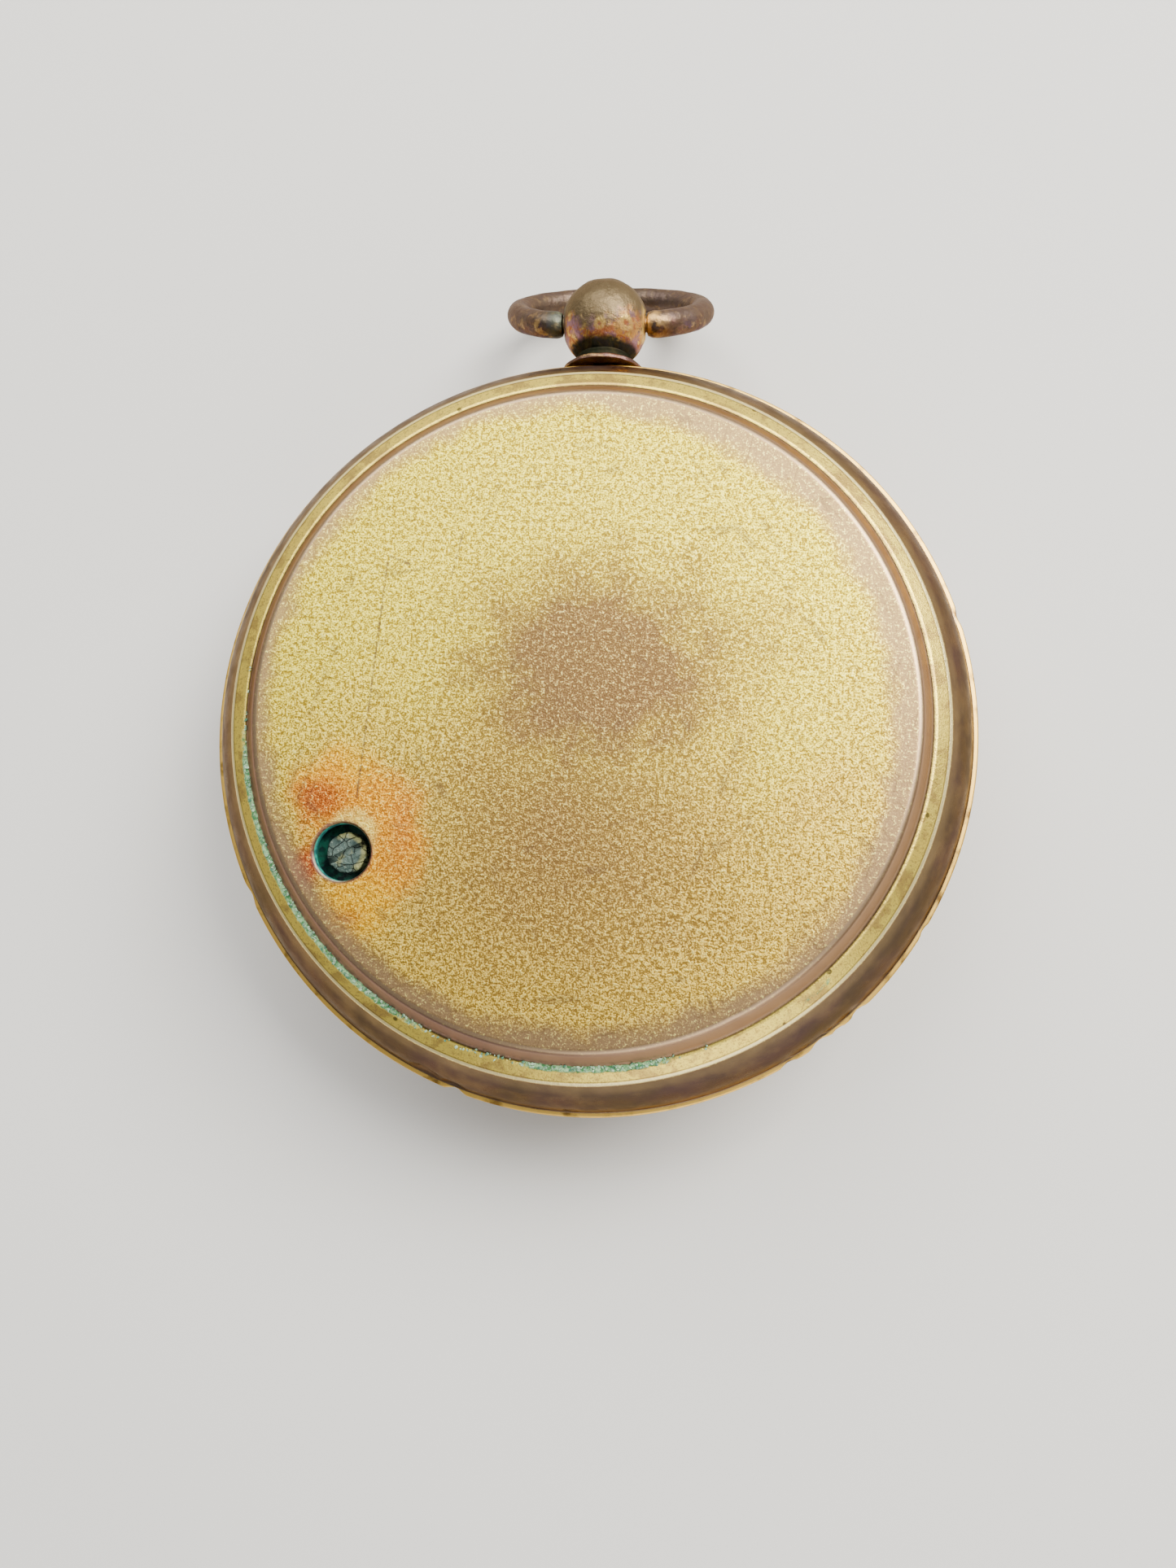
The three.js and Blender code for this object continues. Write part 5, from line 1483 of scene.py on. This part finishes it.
class ChainLinks(Pattern):
    """Links of a fine chain laid along +X, each turned a quarter from the last."""

    label = "Chain links"
    inputs = {"Count": "Int", "Pitch": "Float", "Width": "Float", "Wire": "Float"}

    @classmethod
    def build(cls, graph: Graph, given: Sockets) -> Socket:
        """Copies a wire loop along the line, upright and flat by turns."""
        loop = graph.put("GeometryNodeCurvePrimitiveCircle")
        loop.inputs["Resolution"].default_value = 10
        graph.feed(loop.inputs["Radius"], given["Width"])
        wire = graph.put("GeometryNodeCurvePrimitiveCircle")
        wire.inputs["Resolution"].default_value = 5
        graph.feed(wire.inputs["Radius"], given["Wire"])
        solid = graph.put("GeometryNodeCurveToMesh")
        graph.feed(solid.inputs["Curve"], loop.outputs[0])
        graph.feed(solid.inputs["Profile Curve"], wire.outputs[0])
        index = graph.put("GeometryNodeInputIndex").outputs[0]
        place = graph.joined(graph.times(index, given["Pitch"]), 0.0, 0.0)
        turn = graph.joined(graph.times(graph.math("MODULO", index, 2.0), QUARTER), 0.0, 0.0)
        return cls.set_out(graph, given["Count"], place, solid.outputs[0], turn, (1.7, 1.0, 1.0))


# ---- Sub-assemblies ----------------------------------------------------------------------------------


@dataclass
class Case:
    """The turned case: sprung back, middle and bezel. Sizes are radii and depths in millimetres."""

    segments: int = 512
    lip: float = radius_mm("back_cover")
    cover_height: float = depths_mm("back_cover")[1]
    sheet: float = 0.8
    field_edge: float = FIELD_EDGE
    step_foot: float = STEP_FOOT
    step_depth: float = 1.15
    band_edge: float = BAND_EDGE
    band_depth: float = 1.82
    wall_foot: float = 24.65
    wall_bulge: float = 0.32
    lip_height: float = 0.5
    rim_knocks: float = 25.0
    neck: float = 23.05
    neck_top: float = depths_mm("case_middle")[0]
    neck_end: float = depths_mm("case_middle")[1]
    ledge_width: float = 3.85
    ledge_thickness: float = 1.4
    body: float = radius_mm("case_middle")
    body_bore: float = 22.4
    front_neck: float = 23.4
    front_shoulder: float = 11.55
    pendant_bore: float = 1.16
    glass_seat: float = 0.6
    shelf: float = 22.2
    hole: Vector = field(default_factory=lambda: centre_mm("adjusting_screw"))
    hole_radius: float = HOLE_RADIUS
    hole_chamfer: float = 0.13
    salts: tuple[tuple[int, float, float], ...] = ((150, -147.0, 44.0), (90, -86.0, 22.0), (50, -118.0, 30.0))

    def build(self) -> None:
        """Adds the back with its crumbs of verdigris, the middle and the bezel."""
        piece("sprung_back", self.back(), "case", FrostedBack(), ["back_cover"])
        piece("band_middle", self.middle(), "case", GiltCase(), ["case_middle"])
        piece("glass_bezel", self.bezel(), "case", GiltCase(), ["bezel"])
        for number, (count, middle, spread) in enumerate(self.salts, 1):
            crumbs = SaltCrumbs.mesh(
                VerdigrisCrust(), Count=count, Start=math.radians(middle), Sweep=math.radians(spread),
                Radius=(self.step_foot + 0.12) * MM, Spread=0.16 * MM, Size=0.085 * MM, Level=-1.2 * MM,
            )
            piece(f"verdigris_crumbs_{number}", crumbs, "case", VerdigrisCrust())

    def back_outline(self) -> Section:
        """Returns the sprung back's outer section from the axis to the lip."""
        lip_top = self.cover_height - self.lip_height
        foot = self.step_depth + 0.1
        crown = rounded([
            (0.0, 0.0, 0.0), (self.field_edge, 0.0, 0.34),
            (self.step_foot - 0.16, self.step_depth - 0.06, 0.1),
            (self.step_foot + 0.03, foot, 0.06), (self.step_foot + 0.2, foot, 0.08),
            (self.band_edge, self.band_depth, 0.1), (self.band_edge + 0.22, self.band_depth + 0.3, 0.0),
        ], steps=6)
        wall = []
        steps = 16
        for i in range(2, steps):
            share = i / steps
            radius = self.band_edge + (self.wall_foot - self.band_edge) * share
            bulge = self.wall_bulge * math.sin(math.pi * share)
            wall.append((radius + bulge, self.band_depth + (lip_top - self.band_depth) * share))
        bead = rounded([
            wall[-1] + (0.0,), (self.wall_foot, lip_top - 0.02, 0.06), (self.lip, lip_top + 0.02, 0.12),
            (self.lip, self.cover_height, 0.1), (self.neck + SEAT, self.cover_height, 0.0),
        ])
        return crown + wall[:-1] + bead

    def back(self) -> bpy.types.Mesh:
        """Returns the sprung back with its access hole and its knocks."""
        inside = [
            (self.neck + SEAT, self.neck_top - 0.1), (self.band_edge - 0.6, self.band_depth + self.sheet),
            (self.step_foot - 0.6, self.step_depth + self.sheet), (self.field_edge - 0.55, self.sheet),
            (0.0, self.sheet),
        ]
        outline = refined(self.back_outline(), 0.9, guard=0.05)
        data = turned(outline + inside, self.segments)
        self.knock(data)
        over, past = -0.6, self.sheet + 0.42
        tool = turned(rounded([
            (0.0, over, 0.0), (self.hole_radius + self.hole_chamfer - over, over, 0.0),
            (self.hole_radius, self.hole_chamfer, 0.12), (self.hole_radius, self.sheet - 0.08, 0.0),
            (self.hole_radius + 0.5, past, 0.0), (0.0, past, 0.0),
        ]), 96, place=at(self.hole.x, self.hole.y))
        return creased(carve(data, [tool]), 24)

    def knock(self, data: bpy.types.Mesh) -> None:
        """Dents the lip and the wall where the back was prised open."""
        low = self.cover_height - self.lip_height
        dents = [
            Dent(polar(24.2, -113.0, low - 0.9), 1.3, polar(-0.34, -113.0)),
            Dent(polar(24.4, -108.4, low - 0.6), 1.0, polar(-0.30, -108.4)),
            Dent(polar(self.rim_knocks, -108.0, low + 0.3), 0.8, polar(-0.30, -108.0)),
            Dent(polar(23.8, -100.0, low - 1.9), 1.2, polar(-0.14, -100.0)),
        ]
        for angle, reach, push in (
            (-45.0, 0.8, 0.22), (-49.0, 0.6, 0.18), (-52.0, 1.0, 0.26), (-57.5, 0.7, 0.2),
            (-30.0, 0.6, 0.12), (-152.0, 0.9, 0.14), (18.0, 0.7, 0.12),
        ):
            dents.append(Dent(polar(self.rim_knocks, angle, low + 0.1), reach, polar(-push, angle)))
        for radius, angle, reach, push in (
            (20.9, -62.0, 1.1, 0.08), (22.4, -20.0, 0.8, 0.07), (12.0, 60.0, 4.5, 0.03),
            (9.0, 200.0, 5.0, 0.03), (14.0, -60.0, 5.0, 0.035),
        ):
            dents.append(Dent(polar(radius, angle, 0.6), reach, (0.0, 0.0, -push)))
        press(data, dents)

    def middle(self) -> bpy.types.Mesh:
        """Returns the case middle with its ledge and the hole for the pendant."""
        ledge = self.neck - self.ledge_width
        ledge_end = self.neck_top + self.ledge_thickness
        shoulder = self.cover_height + SEAT
        section = rounded([
            (ledge, self.neck_top, 0.1), (self.neck, self.neck_top, 0.12), (self.neck, shoulder, 0.05),
            (self.body, shoulder, 0.22), (self.body, self.front_shoulder, 0.22),
            (self.front_neck, self.front_shoulder, 0.05), (self.front_neck, self.neck_end, 0.1),
            (self.body_bore, self.neck_end, 0.1), (self.body_bore, ledge_end, 0.05), (ledge, ledge_end, 0.1),
        ], closed=True, steps=4)
        data = turned(refined(section, 1.2, closed=True), 256, closed=True)
        bore = plug(self.pendant_bore, 20.0, 26.0, 48, outward(joint_point("bow_swing").z))
        return creased(carve(data, [bore]), 30)

    def bezel(self) -> bpy.types.Mesh:
        """Returns the bezel that holds the crystal, with a beaded edge and a flat front rim."""
        back, front = depths_mm("bezel")
        glass = depths_mm("crystal")[0]
        glass_edge = glass + 0.5
        groove = radius_mm("crystal") + SEAT
        lip = groove - self.glass_seat
        inner = self.front_neck + SEAT
        shelf_end = self.neck_end + 0.1
        bead_foot = self.lip - 0.16
        section = rounded([
            (inner, back, 0.1), (self.lip, back, 0.25), (self.lip, back + 0.75, 0.1),
            (bead_foot, back + 0.85, 0.05), (bead_foot, back + 1.0, 0.05), (self.lip, back + 1.1, 0.1),
            (self.lip, back + 1.85, 0.3), (self.lip - 0.5, back + 2.85, 0.5),
            (self.lip - 1.45, front - 0.45, 0.35), (self.lip - 1.8, front, 0.12),
            (self.lip - 2.7, front, 0.2), (lip, glass_edge + 0.22, 0.1), (lip, glass_edge + SEAT, 0.0),
            (groove, glass_edge + SEAT, 0.0),
            (groove, glass - SEAT, 0.0), (lip, glass - SEAT, 0.05), (self.shelf, glass - 0.8, 0.1),
            (self.shelf, shelf_end, 0.05), (inner, shelf_end, 0.0),
        ], closed=True, steps=4)
        return creased(turned(refined(section, 0.8, closed=True, guard=0.04), 384, closed=True), 32)


@dataclass
class Pendant:
    """Collar, ball and bow. Sizes are in millimetres."""

    pivot: Vector = field(default_factory=lambda: joint_point("bow_swing"))
    ball_radius: float = 3.0
    ball_flat: float = 0.2
    ball_seat: float = 1.66
    collar_end: float = 26.3
    half_width: float = 6.7
    half_length: float = 5.9
    wire: float = 0.9
    pin: float = 0.55
    pin_hole: float = 0.65
    pin_depth: float = 0.9
    half_span: float = 3.87

    def build(self) -> None:
        """Adds the three pieces."""
        place = tuple(self.pivot)
        bulb = Tarnish(joint=place, pits=((1.62, self.pivot.y - 1.05, self.pivot.z + 2.2),
                                          (-0.15, self.pivot.y - 1.3, self.pivot.z + 2.65)))
        neck = Tarnish(
            name="browned collar", joint=place, pivot_reach=9.0, dark_band=(-3.0, -2.5), paleness=0.6,
            pale=(0.20, 0.15, 0.12), warm=(0.17, 0.10, 0.065), copper=(0.17, 0.085, 0.055),
            plum=(0.16, 0.09, 0.08), dark=(0.07, 0.045, 0.03), gold=(0.40, 0.25, 0.10),
        )
        # the bow's colours are darker than the ball's: partly tarnish, partly painted shade over the whole bow
        ring = Tarnish(
            name="tarnished and shaded bow", joint=place, pivot_reach=self.half_span - 0.75, dark_band=(20.0, 21.0),
            paleness=0.75, pale=(0.19, 0.14, 0.105), warm=(0.17, 0.10, 0.06), copper=(0.13, 0.065, 0.05),
            plum=(0.12, 0.07, 0.085), dark=(0.065, 0.045, 0.04), gold=(0.55, 0.34, 0.13),
        )
        piece("pendant_neck", self.collar(), "case", neck, ["pendant_collar"])
        piece("pendant_bulb", self.ball(), "case", bulb, ["pendant_ball"])
        piece("oval_bow", self.bow(), "bow", ring, ["bow"])

    def collar(self) -> bpy.types.Mesh:
        """Returns the flange, the short neck and the stub that goes through the case."""
        stub = corners_mm("pendant_collar")[0].y
        section = rounded([
            (0.0, stub, 0.0), (1.1, stub, 0.1), (1.1, 25.1, 0.0), (2.8, 25.1, 0.08), (2.8, 25.38, 0.12),
            (2.35, 25.6, 0.12), (1.95, 25.62, 0.1), (1.78, 25.95, 0.15), (1.88, self.collar_end, 0.08),
            (0.0, self.collar_end, 0.0),
        ])
        data = turned(refined(section, 0.25, guard=0.03), 128, place=outward(self.pivot.z))
        roughen(data, 0.05, 0.9)
        return data

    def ball(self) -> bpy.types.Mesh:
        """Returns the ball with its filed sides and pivot holes."""
        start = math.asin(self.ball_seat / self.ball_radius)
        middle = self.pivot.y
        section = [(0.0, middle - self.ball_radius * math.cos(start))]
        steps = 72
        for i in range(steps + 1):
            angle = start + (math.pi - start) * i / steps
            radius = 0.0 if i == steps else self.ball_radius * math.sin(angle)
            section.append((radius, middle - self.ball_radius * math.cos(angle)))
        data = turned(section, 144, place=outward(self.pivot.z))
        roughen(data, 0.05, 1.1)
        tools = []
        flat = -(self.ball_radius - self.ball_flat)
        for side in (-1, 1):
            across = at(*self.pivot) @ Matrix.Rotation(side * QUARTER, 4, "Y")
            tools.append(plug(self.ball_radius + 0.2, flat, flat - 1.0, 48, across))
            tools.append(plug(self.pin_hole, flat + self.pin_depth, flat - 1.2, 32, across))
        return creased(carve(data, tools), 28)

    def bow(self) -> bpy.types.Mesh:
        """Returns the oval bow, its ends thinned into the two pivots."""
        centre = self.half_length * math.sqrt(1 - (self.half_span / self.half_width) ** 2)
        low = corners_mm("bow")[0].z
        drop = math.asin((self.pivot.z - low - self.wire) / (centre + self.half_length))
        reach = self.ball_radius - self.ball_flat
        join = math.radians(-42)

        def oval(angle: float) -> Vector:
            """Returns the point of the oval in a direction."""
            x, y = self.half_width * math.cos(angle), centre + self.half_length * math.sin(angle)
            return Vector((x, y, 0.0))

        foot = Vector((self.half_span - 0.62, 0.0, 0.0))
        knee, tip = oval(join), Vector((foot.x + 0.95, 0.0, 0.0))
        side = [(Vector((reach - 0.8, 0.0, 0.0)), self.pin), (Vector((reach + 0.12, 0.0, 0.0)), self.pin),
                (Vector((reach + 0.2, 0.0, 0.0)), self.wire - 0.12), (foot, self.wire - 0.03)]
        steps = 14
        for i in range(1, steps):
            t = i / steps
            side.append((foot * (1 - t) ** 2 + tip * 2 * t * (1 - t) + knee * t ** 2, self.wire))
        arc = []
        steps = 150
        for i in range(steps + 1):
            angle = join + (math.pi - 2 * join) * i / steps
            arc.append((oval(angle), self.wire * (1 - 0.05 * math.sin(angle) ** 8)))
        other = [(Vector((-point.x, point.y, 0.0)), radius) for point, radius in reversed(side)]
        points, radii = zip(*side, *arc, *other)
        data = swept(points, radii, 28, at(*self.pivot) @ Matrix.Rotation(-drop, 4, "X"))
        roughen(data, 0.035, 1.3)
        return creased(data, 40)


@dataclass
class Adjuster:
    """The corroded adjusting screw under the access hole. Sizes are in millimetres."""

    head: float = 1.3
    shank: float = 0.85
    slot_depth: float = 0.34
    slot_turn: float = 28.0
    head_height: float = 1.35
    crust: float = 0.05

    def build(self) -> None:
        """Adds the screw with its slot and crust."""
        centre = centre_mm("adjusting_screw")
        top, end = depths_mm("adjusting_screw")
        seat = top + self.head_height
        place = at(centre.x, centre.y)
        edge = self.head - 0.06
        section = rounded([
            (0.0, top + self.crust, 0.0), (edge, top + self.crust, 0.2), (edge, seat, 0.1),
            (self.shank, seat, 0.0), (self.shank, end, 0.1), (0.0, end, 0.0),
        ])
        data = turned(refined(section, 0.09, guard=0.02), 96, place=place)
        bar = plug(1.6, top - 1.0, top + self.slot_depth, 4)
        narrow = Matrix.Diagonal((2.0, 0.19, 1.0, 1.0)) @ Matrix.Rotation(math.pi / 4, 4, "Z")
        bar.transform(place @ Matrix.Rotation(math.radians(self.slot_turn), 4, "Z") @ narrow)
        data = carve(data, [bar])
        roughen(data, 0.11, 0.42)
        roughen(data, 0.05, 0.16)
        piece("crusted_adjuster", data, "adjusting_screw", CorrodedSteel(),
              ["adjusting_screw"])


@dataclass
class DialSide:
    """Crystal, dial with its scale, and pointer. Sizes are in millimetres."""

    radius: float = radius_mm("dial")
    back: float = depths_mm("dial")[0]
    front: float = depths_mm("dial")[1]
    arbor_hole: float = 1.0
    screw_hole: float = 0.4
    scale_start: float = -30.0
    scale_sweep: float = 240.0
    scale_radius: float = 18.6
    first_number: int = 27
    last_number: int = 31
    number_radius: float = 15.0
    number_height: float = 2.7
    ink: float = 0.03
    line_width: float = 0.1
    reach: float = 17.3
    tail: float = 5.0
    hub: float = 1.1
    point: float = 0.02

    def build(self) -> None:
        """Adds every piece on the front."""
        piece("silvered_scale_plate", self.plate(), "case", SilveredDial(), ["dial"])
        piece("bevelled_glass", self.glass(), "case", Crystal(), ["crystal"])
        start, sweep = math.radians(self.scale_start), math.radians(self.scale_sweep)
        for name, count, length, width in (
            ("minor", 81, 0.9, 0.09), ("medium", 41, 1.5, 0.12), ("major", 9, 2.2, 0.22),
        ):
            marks = ScaleMarks.mesh(
                Wax(), Count=count, Start=start, Sweep=sweep, Radius=(self.scale_radius - length / 2) * MM,
                Length=length * MM, Width=width * MM, Thickness=self.ink * MM, Level=-self.front * MM,
            )
            piece(f"scale_marks_{name}", marks, "case", Wax())
        for name, radius in (("outer", self.scale_radius + 0.1), ("inner", 12.4)):
            line = turned(self.line_section(radius), 256, closed=True)
            piece(f"scale_line_{name}", line, "case", Wax())
        numbers = range(self.first_number, self.last_number + 1)
        for i, number in enumerate(numbers):
            angle = self.scale_start + self.scale_sweep * i / (len(numbers) - 1)
            piece(f"scale_number_{number}", self.number(str(number), angle), "case", Wax())
        piece("blued_hand", self.hand(), "hand", Metal.BLUED.value, ["pointer"])

    def line_section(self, radius: float) -> Section:
        """Returns a thin flat ring's section on the dial."""
        outer, under, over = radius + self.line_width, self.front - self.ink / 2, self.front + self.ink / 2
        return [(radius, under), (outer, under), (outer, over), (radius, over)]

    def plate(self) -> bpy.types.Mesh:
        """Returns the dial with its centre hole and screw holes."""
        section = rounded([
            (self.arbor_hole, self.back, 0.04), (self.radius, self.back, 0.08),
            (self.radius, self.front, 0.1), (self.arbor_hole, self.front, 0.06),
        ], closed=True)
        data = turned(refined(section, 1.5, closed=True, guard=0.04), 256, closed=True)
        tools = []
        for i in (1, 2, 3):
            centre = centre_mm(f"dial_screw_{i}")
            tools.append(plug(self.screw_hole, self.back - 1, self.front + 1, 32, at(centre.x, centre.y)))
        return creased(carve(data, tools), 30)

    def glass(self) -> bpy.types.Mesh:
        """Returns the bevelled crystal."""
        radius = radius_mm("crystal")
        back, front = depths_mm("crystal")
        flange = back + 0.5
        section = rounded([
            (0.0, back, 0.0), (radius, back, 0.05), (radius, flange, 0.05), (radius - 0.7, flange, 0.03),
            (radius - 2.15, front, 0.05), (0.0, front, 0.0),
        ])
        return creased(turned(refined(section, 1.5, guard=0.04), 256), 20)

    def number(self, text: str, degrees: float) -> bpy.types.Mesh:
        """Returns a scale number, upright towards the rim and readable from the front."""
        curve = bpy.data.curves.new("number", "FONT")
        curve.body = text
        curve.align_x = "CENTER"
        curve.align_y = "CENTER"
        curve.size = self.number_height * MM
        curve.extrude = self.ink / 2 * MM
        curve.resolution_u = 4
        data = grown(linked("number", curve))
        centre = Vector(polar(self.number_radius, degrees, self.front)) * MM
        data.transform(Matrix.Translation(centre) @ Matrix.Rotation(math.radians(degrees - 90), 4, "Z")
                       @ Matrix.Rotation(math.pi, 4, "Y"))
        mesh = bmesh.new()
        mesh.from_mesh(data)
        bpy.data.meshes.remove(data)
        return finished(mesh, smooth=False)

    def hand(self) -> bpy.types.Mesh:
        """Returns the hand: a leaf blade, a hub and a tail of a pear's shape."""
        back, front = depths_mm("pointer")
        middle = centre_mm("pointer")
        half: list[tuple[float, float]] = [(-self.tail, self.point)]
        steps = 60
        for i in range(1, steps):
            along = -self.tail + (self.reach + self.tail) * i / steps
            share = min(max((along - 1.0) / (self.reach - 1.0), 0.0), 1.0)
            blade = 0.42 * math.sin(math.pi * share ** 0.6) + 0.10
            hub = math.sqrt(max(self.hub ** 2 - along ** 2, 0.0))
            pear = 0.75 * math.sin(math.pi * min(max((along + self.tail) / 2.6, 0.0), 1.0)) + 0.2
            half.append((along, max(blade if along > 0 else 0.0, hub, pear if along < 0 else 0.0)))
        half.append((self.reach, self.point))
        mesh = bmesh.new()
        ridge = 0.05
        rows = []
        for along, width in half:
            inner = max(width - ridge, width * 0.4)
            rows.append([mesh.verts.new(Vector((along, y, -depth)) * MM) for y, depth in (
                (width, back), (width, front - ridge), (inner, front), (0.0, front), (-inner, front),
                (-width, front - ridge), (-width, back))])
        bridged(mesh, rows)
        return creased(finished(mesh, Matrix.Rotation(math.atan2(middle.y, middle.x), 4, "Z")), 25)


@dataclass
class Movement:
    """The aneroid movement, which keeps its CAD shapes except for its chain and its capsule."""

    finishes: dict[str, Finish] = field(default_factory=lambda: {
        "movement_brass": Metal.BRASS.value, "steel": Metal.STEEL.value, "blued_steel": Metal.BLUED.value,
        "nickel_silver": Metal.NICKEL.value, "corroded_steel": CorrodedSteel(), "gilt_brass": GiltCase(),
        "tarnished_brass": Metal.BRASS.value, "silvered_dial": SilveredDial(), "glass": Crystal(),
    })
    link_pitch: float = 0.3
    wave_depth: float = 0.3
    waves: int = 4
    boss: float = 2.0
    sheet: float = 0.25

    def build(self) -> None:
        """Dresses the CAD nodes and adds the fine chain and the corrugated capsule."""
        slots = {part["node"]: part["material_slot"] for part in frame["record"]["subparts"]}
        for name, node in frame["nodes"].items():
            finish = StainedPlate() if name == "base_plate" else self.finishes[slots[name]]
            node.data.materials.clear()
            node.data.materials.append(finish.material())
        self.chain()
        self.shell("capsule_lower", "corrugated_shell_lower", 1.0)
        self.shell("capsule_upper", "corrugated_shell_upper", -1.0)

    def chain(self) -> None:
        """Lays fine links along the chain's line."""
        low, high = corners_mm("chain")
        joint = next(item for item in frame["joints"] if item["name"] == "chain_pull")
        along = Vector(joint["axis"]).normalized()
        radius = (high.z - low.z) / 2
        start = Vector((high.x - 1.4 * radius, high.y - 1.4 * radius, (low.z + high.z) / 2))
        end = Vector((low.x + 1.4 * radius, low.y + 1.4 * radius, start.z))
        count = int((end - start).length / self.link_pitch)
        data = ChainLinks.mesh(Metal.STEEL.value, Count=count, Pitch=self.link_pitch * MM, Width=0.085 * MM,
                               Wire=0.028 * MM)
        turn = math.atan2(along.y, along.x)
        data.transform(at(*start) @ Matrix.Rotation(turn, 4, "Z"))
        piece("fine_chain", data, "chain", Metal.STEEL.value, ["chain"])

    def shell(self, node: str, name: str, side: float) -> None:
        """Adds one corrugated shell of the capsule; side is +1 for the one nearer the back."""
        near, far = depths_mm(node)
        face, rim = (near, far) if side > 0 else (far, near)
        radius, boss, sheet = radius_mm(node), self.boss, self.sheet
        shoulder = radius - 1.0
        outer = [(0.0, face), (boss, face)]
        steps = 64
        for i in range(1, steps):
            share = i / steps
            wave = self.wave_depth * (0.5 - 0.5 * math.cos(2 * math.pi * self.waves * share))
            outer.append((boss + (shoulder - boss) * share, face + side * wave))
        inner = [(r, depth + side * sheet) for r, depth in reversed(outer)]
        lap = rim - side * sheet
        skirt = rounded([
            outer[-1] + (0.0,), (shoulder + 0.15, face, 0.1), (shoulder + 0.35, lap, 0.1),
            (radius, lap, 0.05), (radius, rim, 0.05), (shoulder, rim, 0.1), inner[0] + (0.0,),
        ], steps=3)
        data = creased(turned(outer + skirt[1:-1] + inner, 160), 35)
        piece(name, data, "case", Metal.NICKEL.value, [node])


# ---- Studio ------------------------------------------------------------------------------------------


@dataclass
class Lamp:
    """A soft square lamp. Its place is in millimetres, its size in metres and its power in watts."""

    name: str
    place: Point
    size: float
    power: float
    colour: Colour = (1.0, 1.0, 1.0)


@dataclass
class Studio:
    """Camera, floor and lamps. The floor's size is in metres, its window's radius in millimetres."""

    eye: Point = (7.11, -12.42, 70.12)
    right: Point = (0.99553, 0.03573, -0.08742)
    up: Point = (-0.02549, 0.99297, 0.11559)
    back: Point = (0.09094, -0.11284, 0.98944)
    lens: float = 27.03
    floor_size: float = 1.8
    floor_window: float = 20.0
    floor_sides: int = 96
    floor_drop: float = 0.00002  # metres, so that the bezel and the floor don't share a plane
    lamps: tuple[Lamp, ...] = (
        Lamp("window", (230.0, 190.0, 330.0), 0.26, 4.25, (1.0, 0.96, 0.88)),
        Lamp("skylight", (-120.0, 280.0, 340.0), 0.36, 2.1, (1.0, 0.98, 0.94)),
        Lamp("bounce", (110.0, -300.0, 170.0), 0.30, 0.7, (1.0, 0.96, 0.90)),
        Lamp("underside", (60.0, -110.0, -300.0), 0.26, 1.5, (1.0, 0.98, 0.95)),
    )
    sky: Colour = (0.80, 0.80, 0.79)
    sky_strength: float = 0.37

    def build(self) -> None:
        """Adds the floor, the lamps, the sky and the camera."""
        self.floor()
        for lamp in self.lamps:
            self.light(lamp)
        world = bpy.data.worlds.new("soft sky")
        world.use_nodes = True
        background = world.node_tree.nodes["Background"]
        background.inputs["Color"].default_value = (*self.sky, 1.0)
        background.inputs["Strength"].default_value = self.sky_strength
        bpy.context.scene.world = world
        self.camera()

    def floor(self) -> None:
        """Adds a plain floor under the bezel, with a round window that lets daylight reach the dial."""
        level = CAD_BOX[0][2]
        mesh = bmesh.new()
        rings = [list(bmesh.ops.create_circle(mesh, segments=self.floor_sides, radius=radius)["verts"])
                 for radius in (self.floor_window * MM, self.floor_size / 2)]
        for ring in rings:
            ring.append(ring[0])
        for i in range(self.floor_sides):
            mesh.faces.new((rings[0][i], rings[0][i + 1], rings[1][i + 1], rings[1][i]))
        data = finished(mesh, Matrix.Translation((0.0, 0.0, level - self.floor_drop)), smooth=False)
        data.materials.append(StudioFloor().material())
        if data.polygons[0].normal.z < 0:
            data.flip_normals()
        linked("floor", data)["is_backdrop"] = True

    @staticmethod
    def light(lamp: Lamp) -> None:
        """Adds one lamp that faces the object."""
        data = bpy.data.lights.new(lamp.name, "AREA")
        data.size = lamp.size
        data.energy = lamp.power
        data.color = lamp.colour
        thing = linked(lamp.name, data)
        thing.location = Vector(lamp.place) * MM
        thing.rotation_euler = (-thing.location).to_track_quat("-Z", "Y").to_euler()

    def camera(self) -> None:
        """Adds the camera above the back, a little below its middle."""
        data = bpy.data.cameras.new("camera")
        data.sensor_width = 36.0
        data.lens = self.lens
        data.clip_start = 0.001
        thing = linked("camera", data)
        thing.matrix_world = at(*self.eye) @ Matrix((self.right, self.up, self.back)).transposed().to_4x4()
        bpy.context.scene.camera = thing


# ---- Making it all -----------------------------------------------------------------------------------


def main() -> None:
    """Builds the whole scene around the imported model."""
    logging.basicConfig(level=logging.INFO, format="%(name)s: %(message)s")
    for part in (Studio(), Movement(), Case(), Pendant(), Adjuster(), DialSide()):
        LOG.info("building %s", type(part).__name__)
        part.build()


if __name__ == "__main__":
    main()
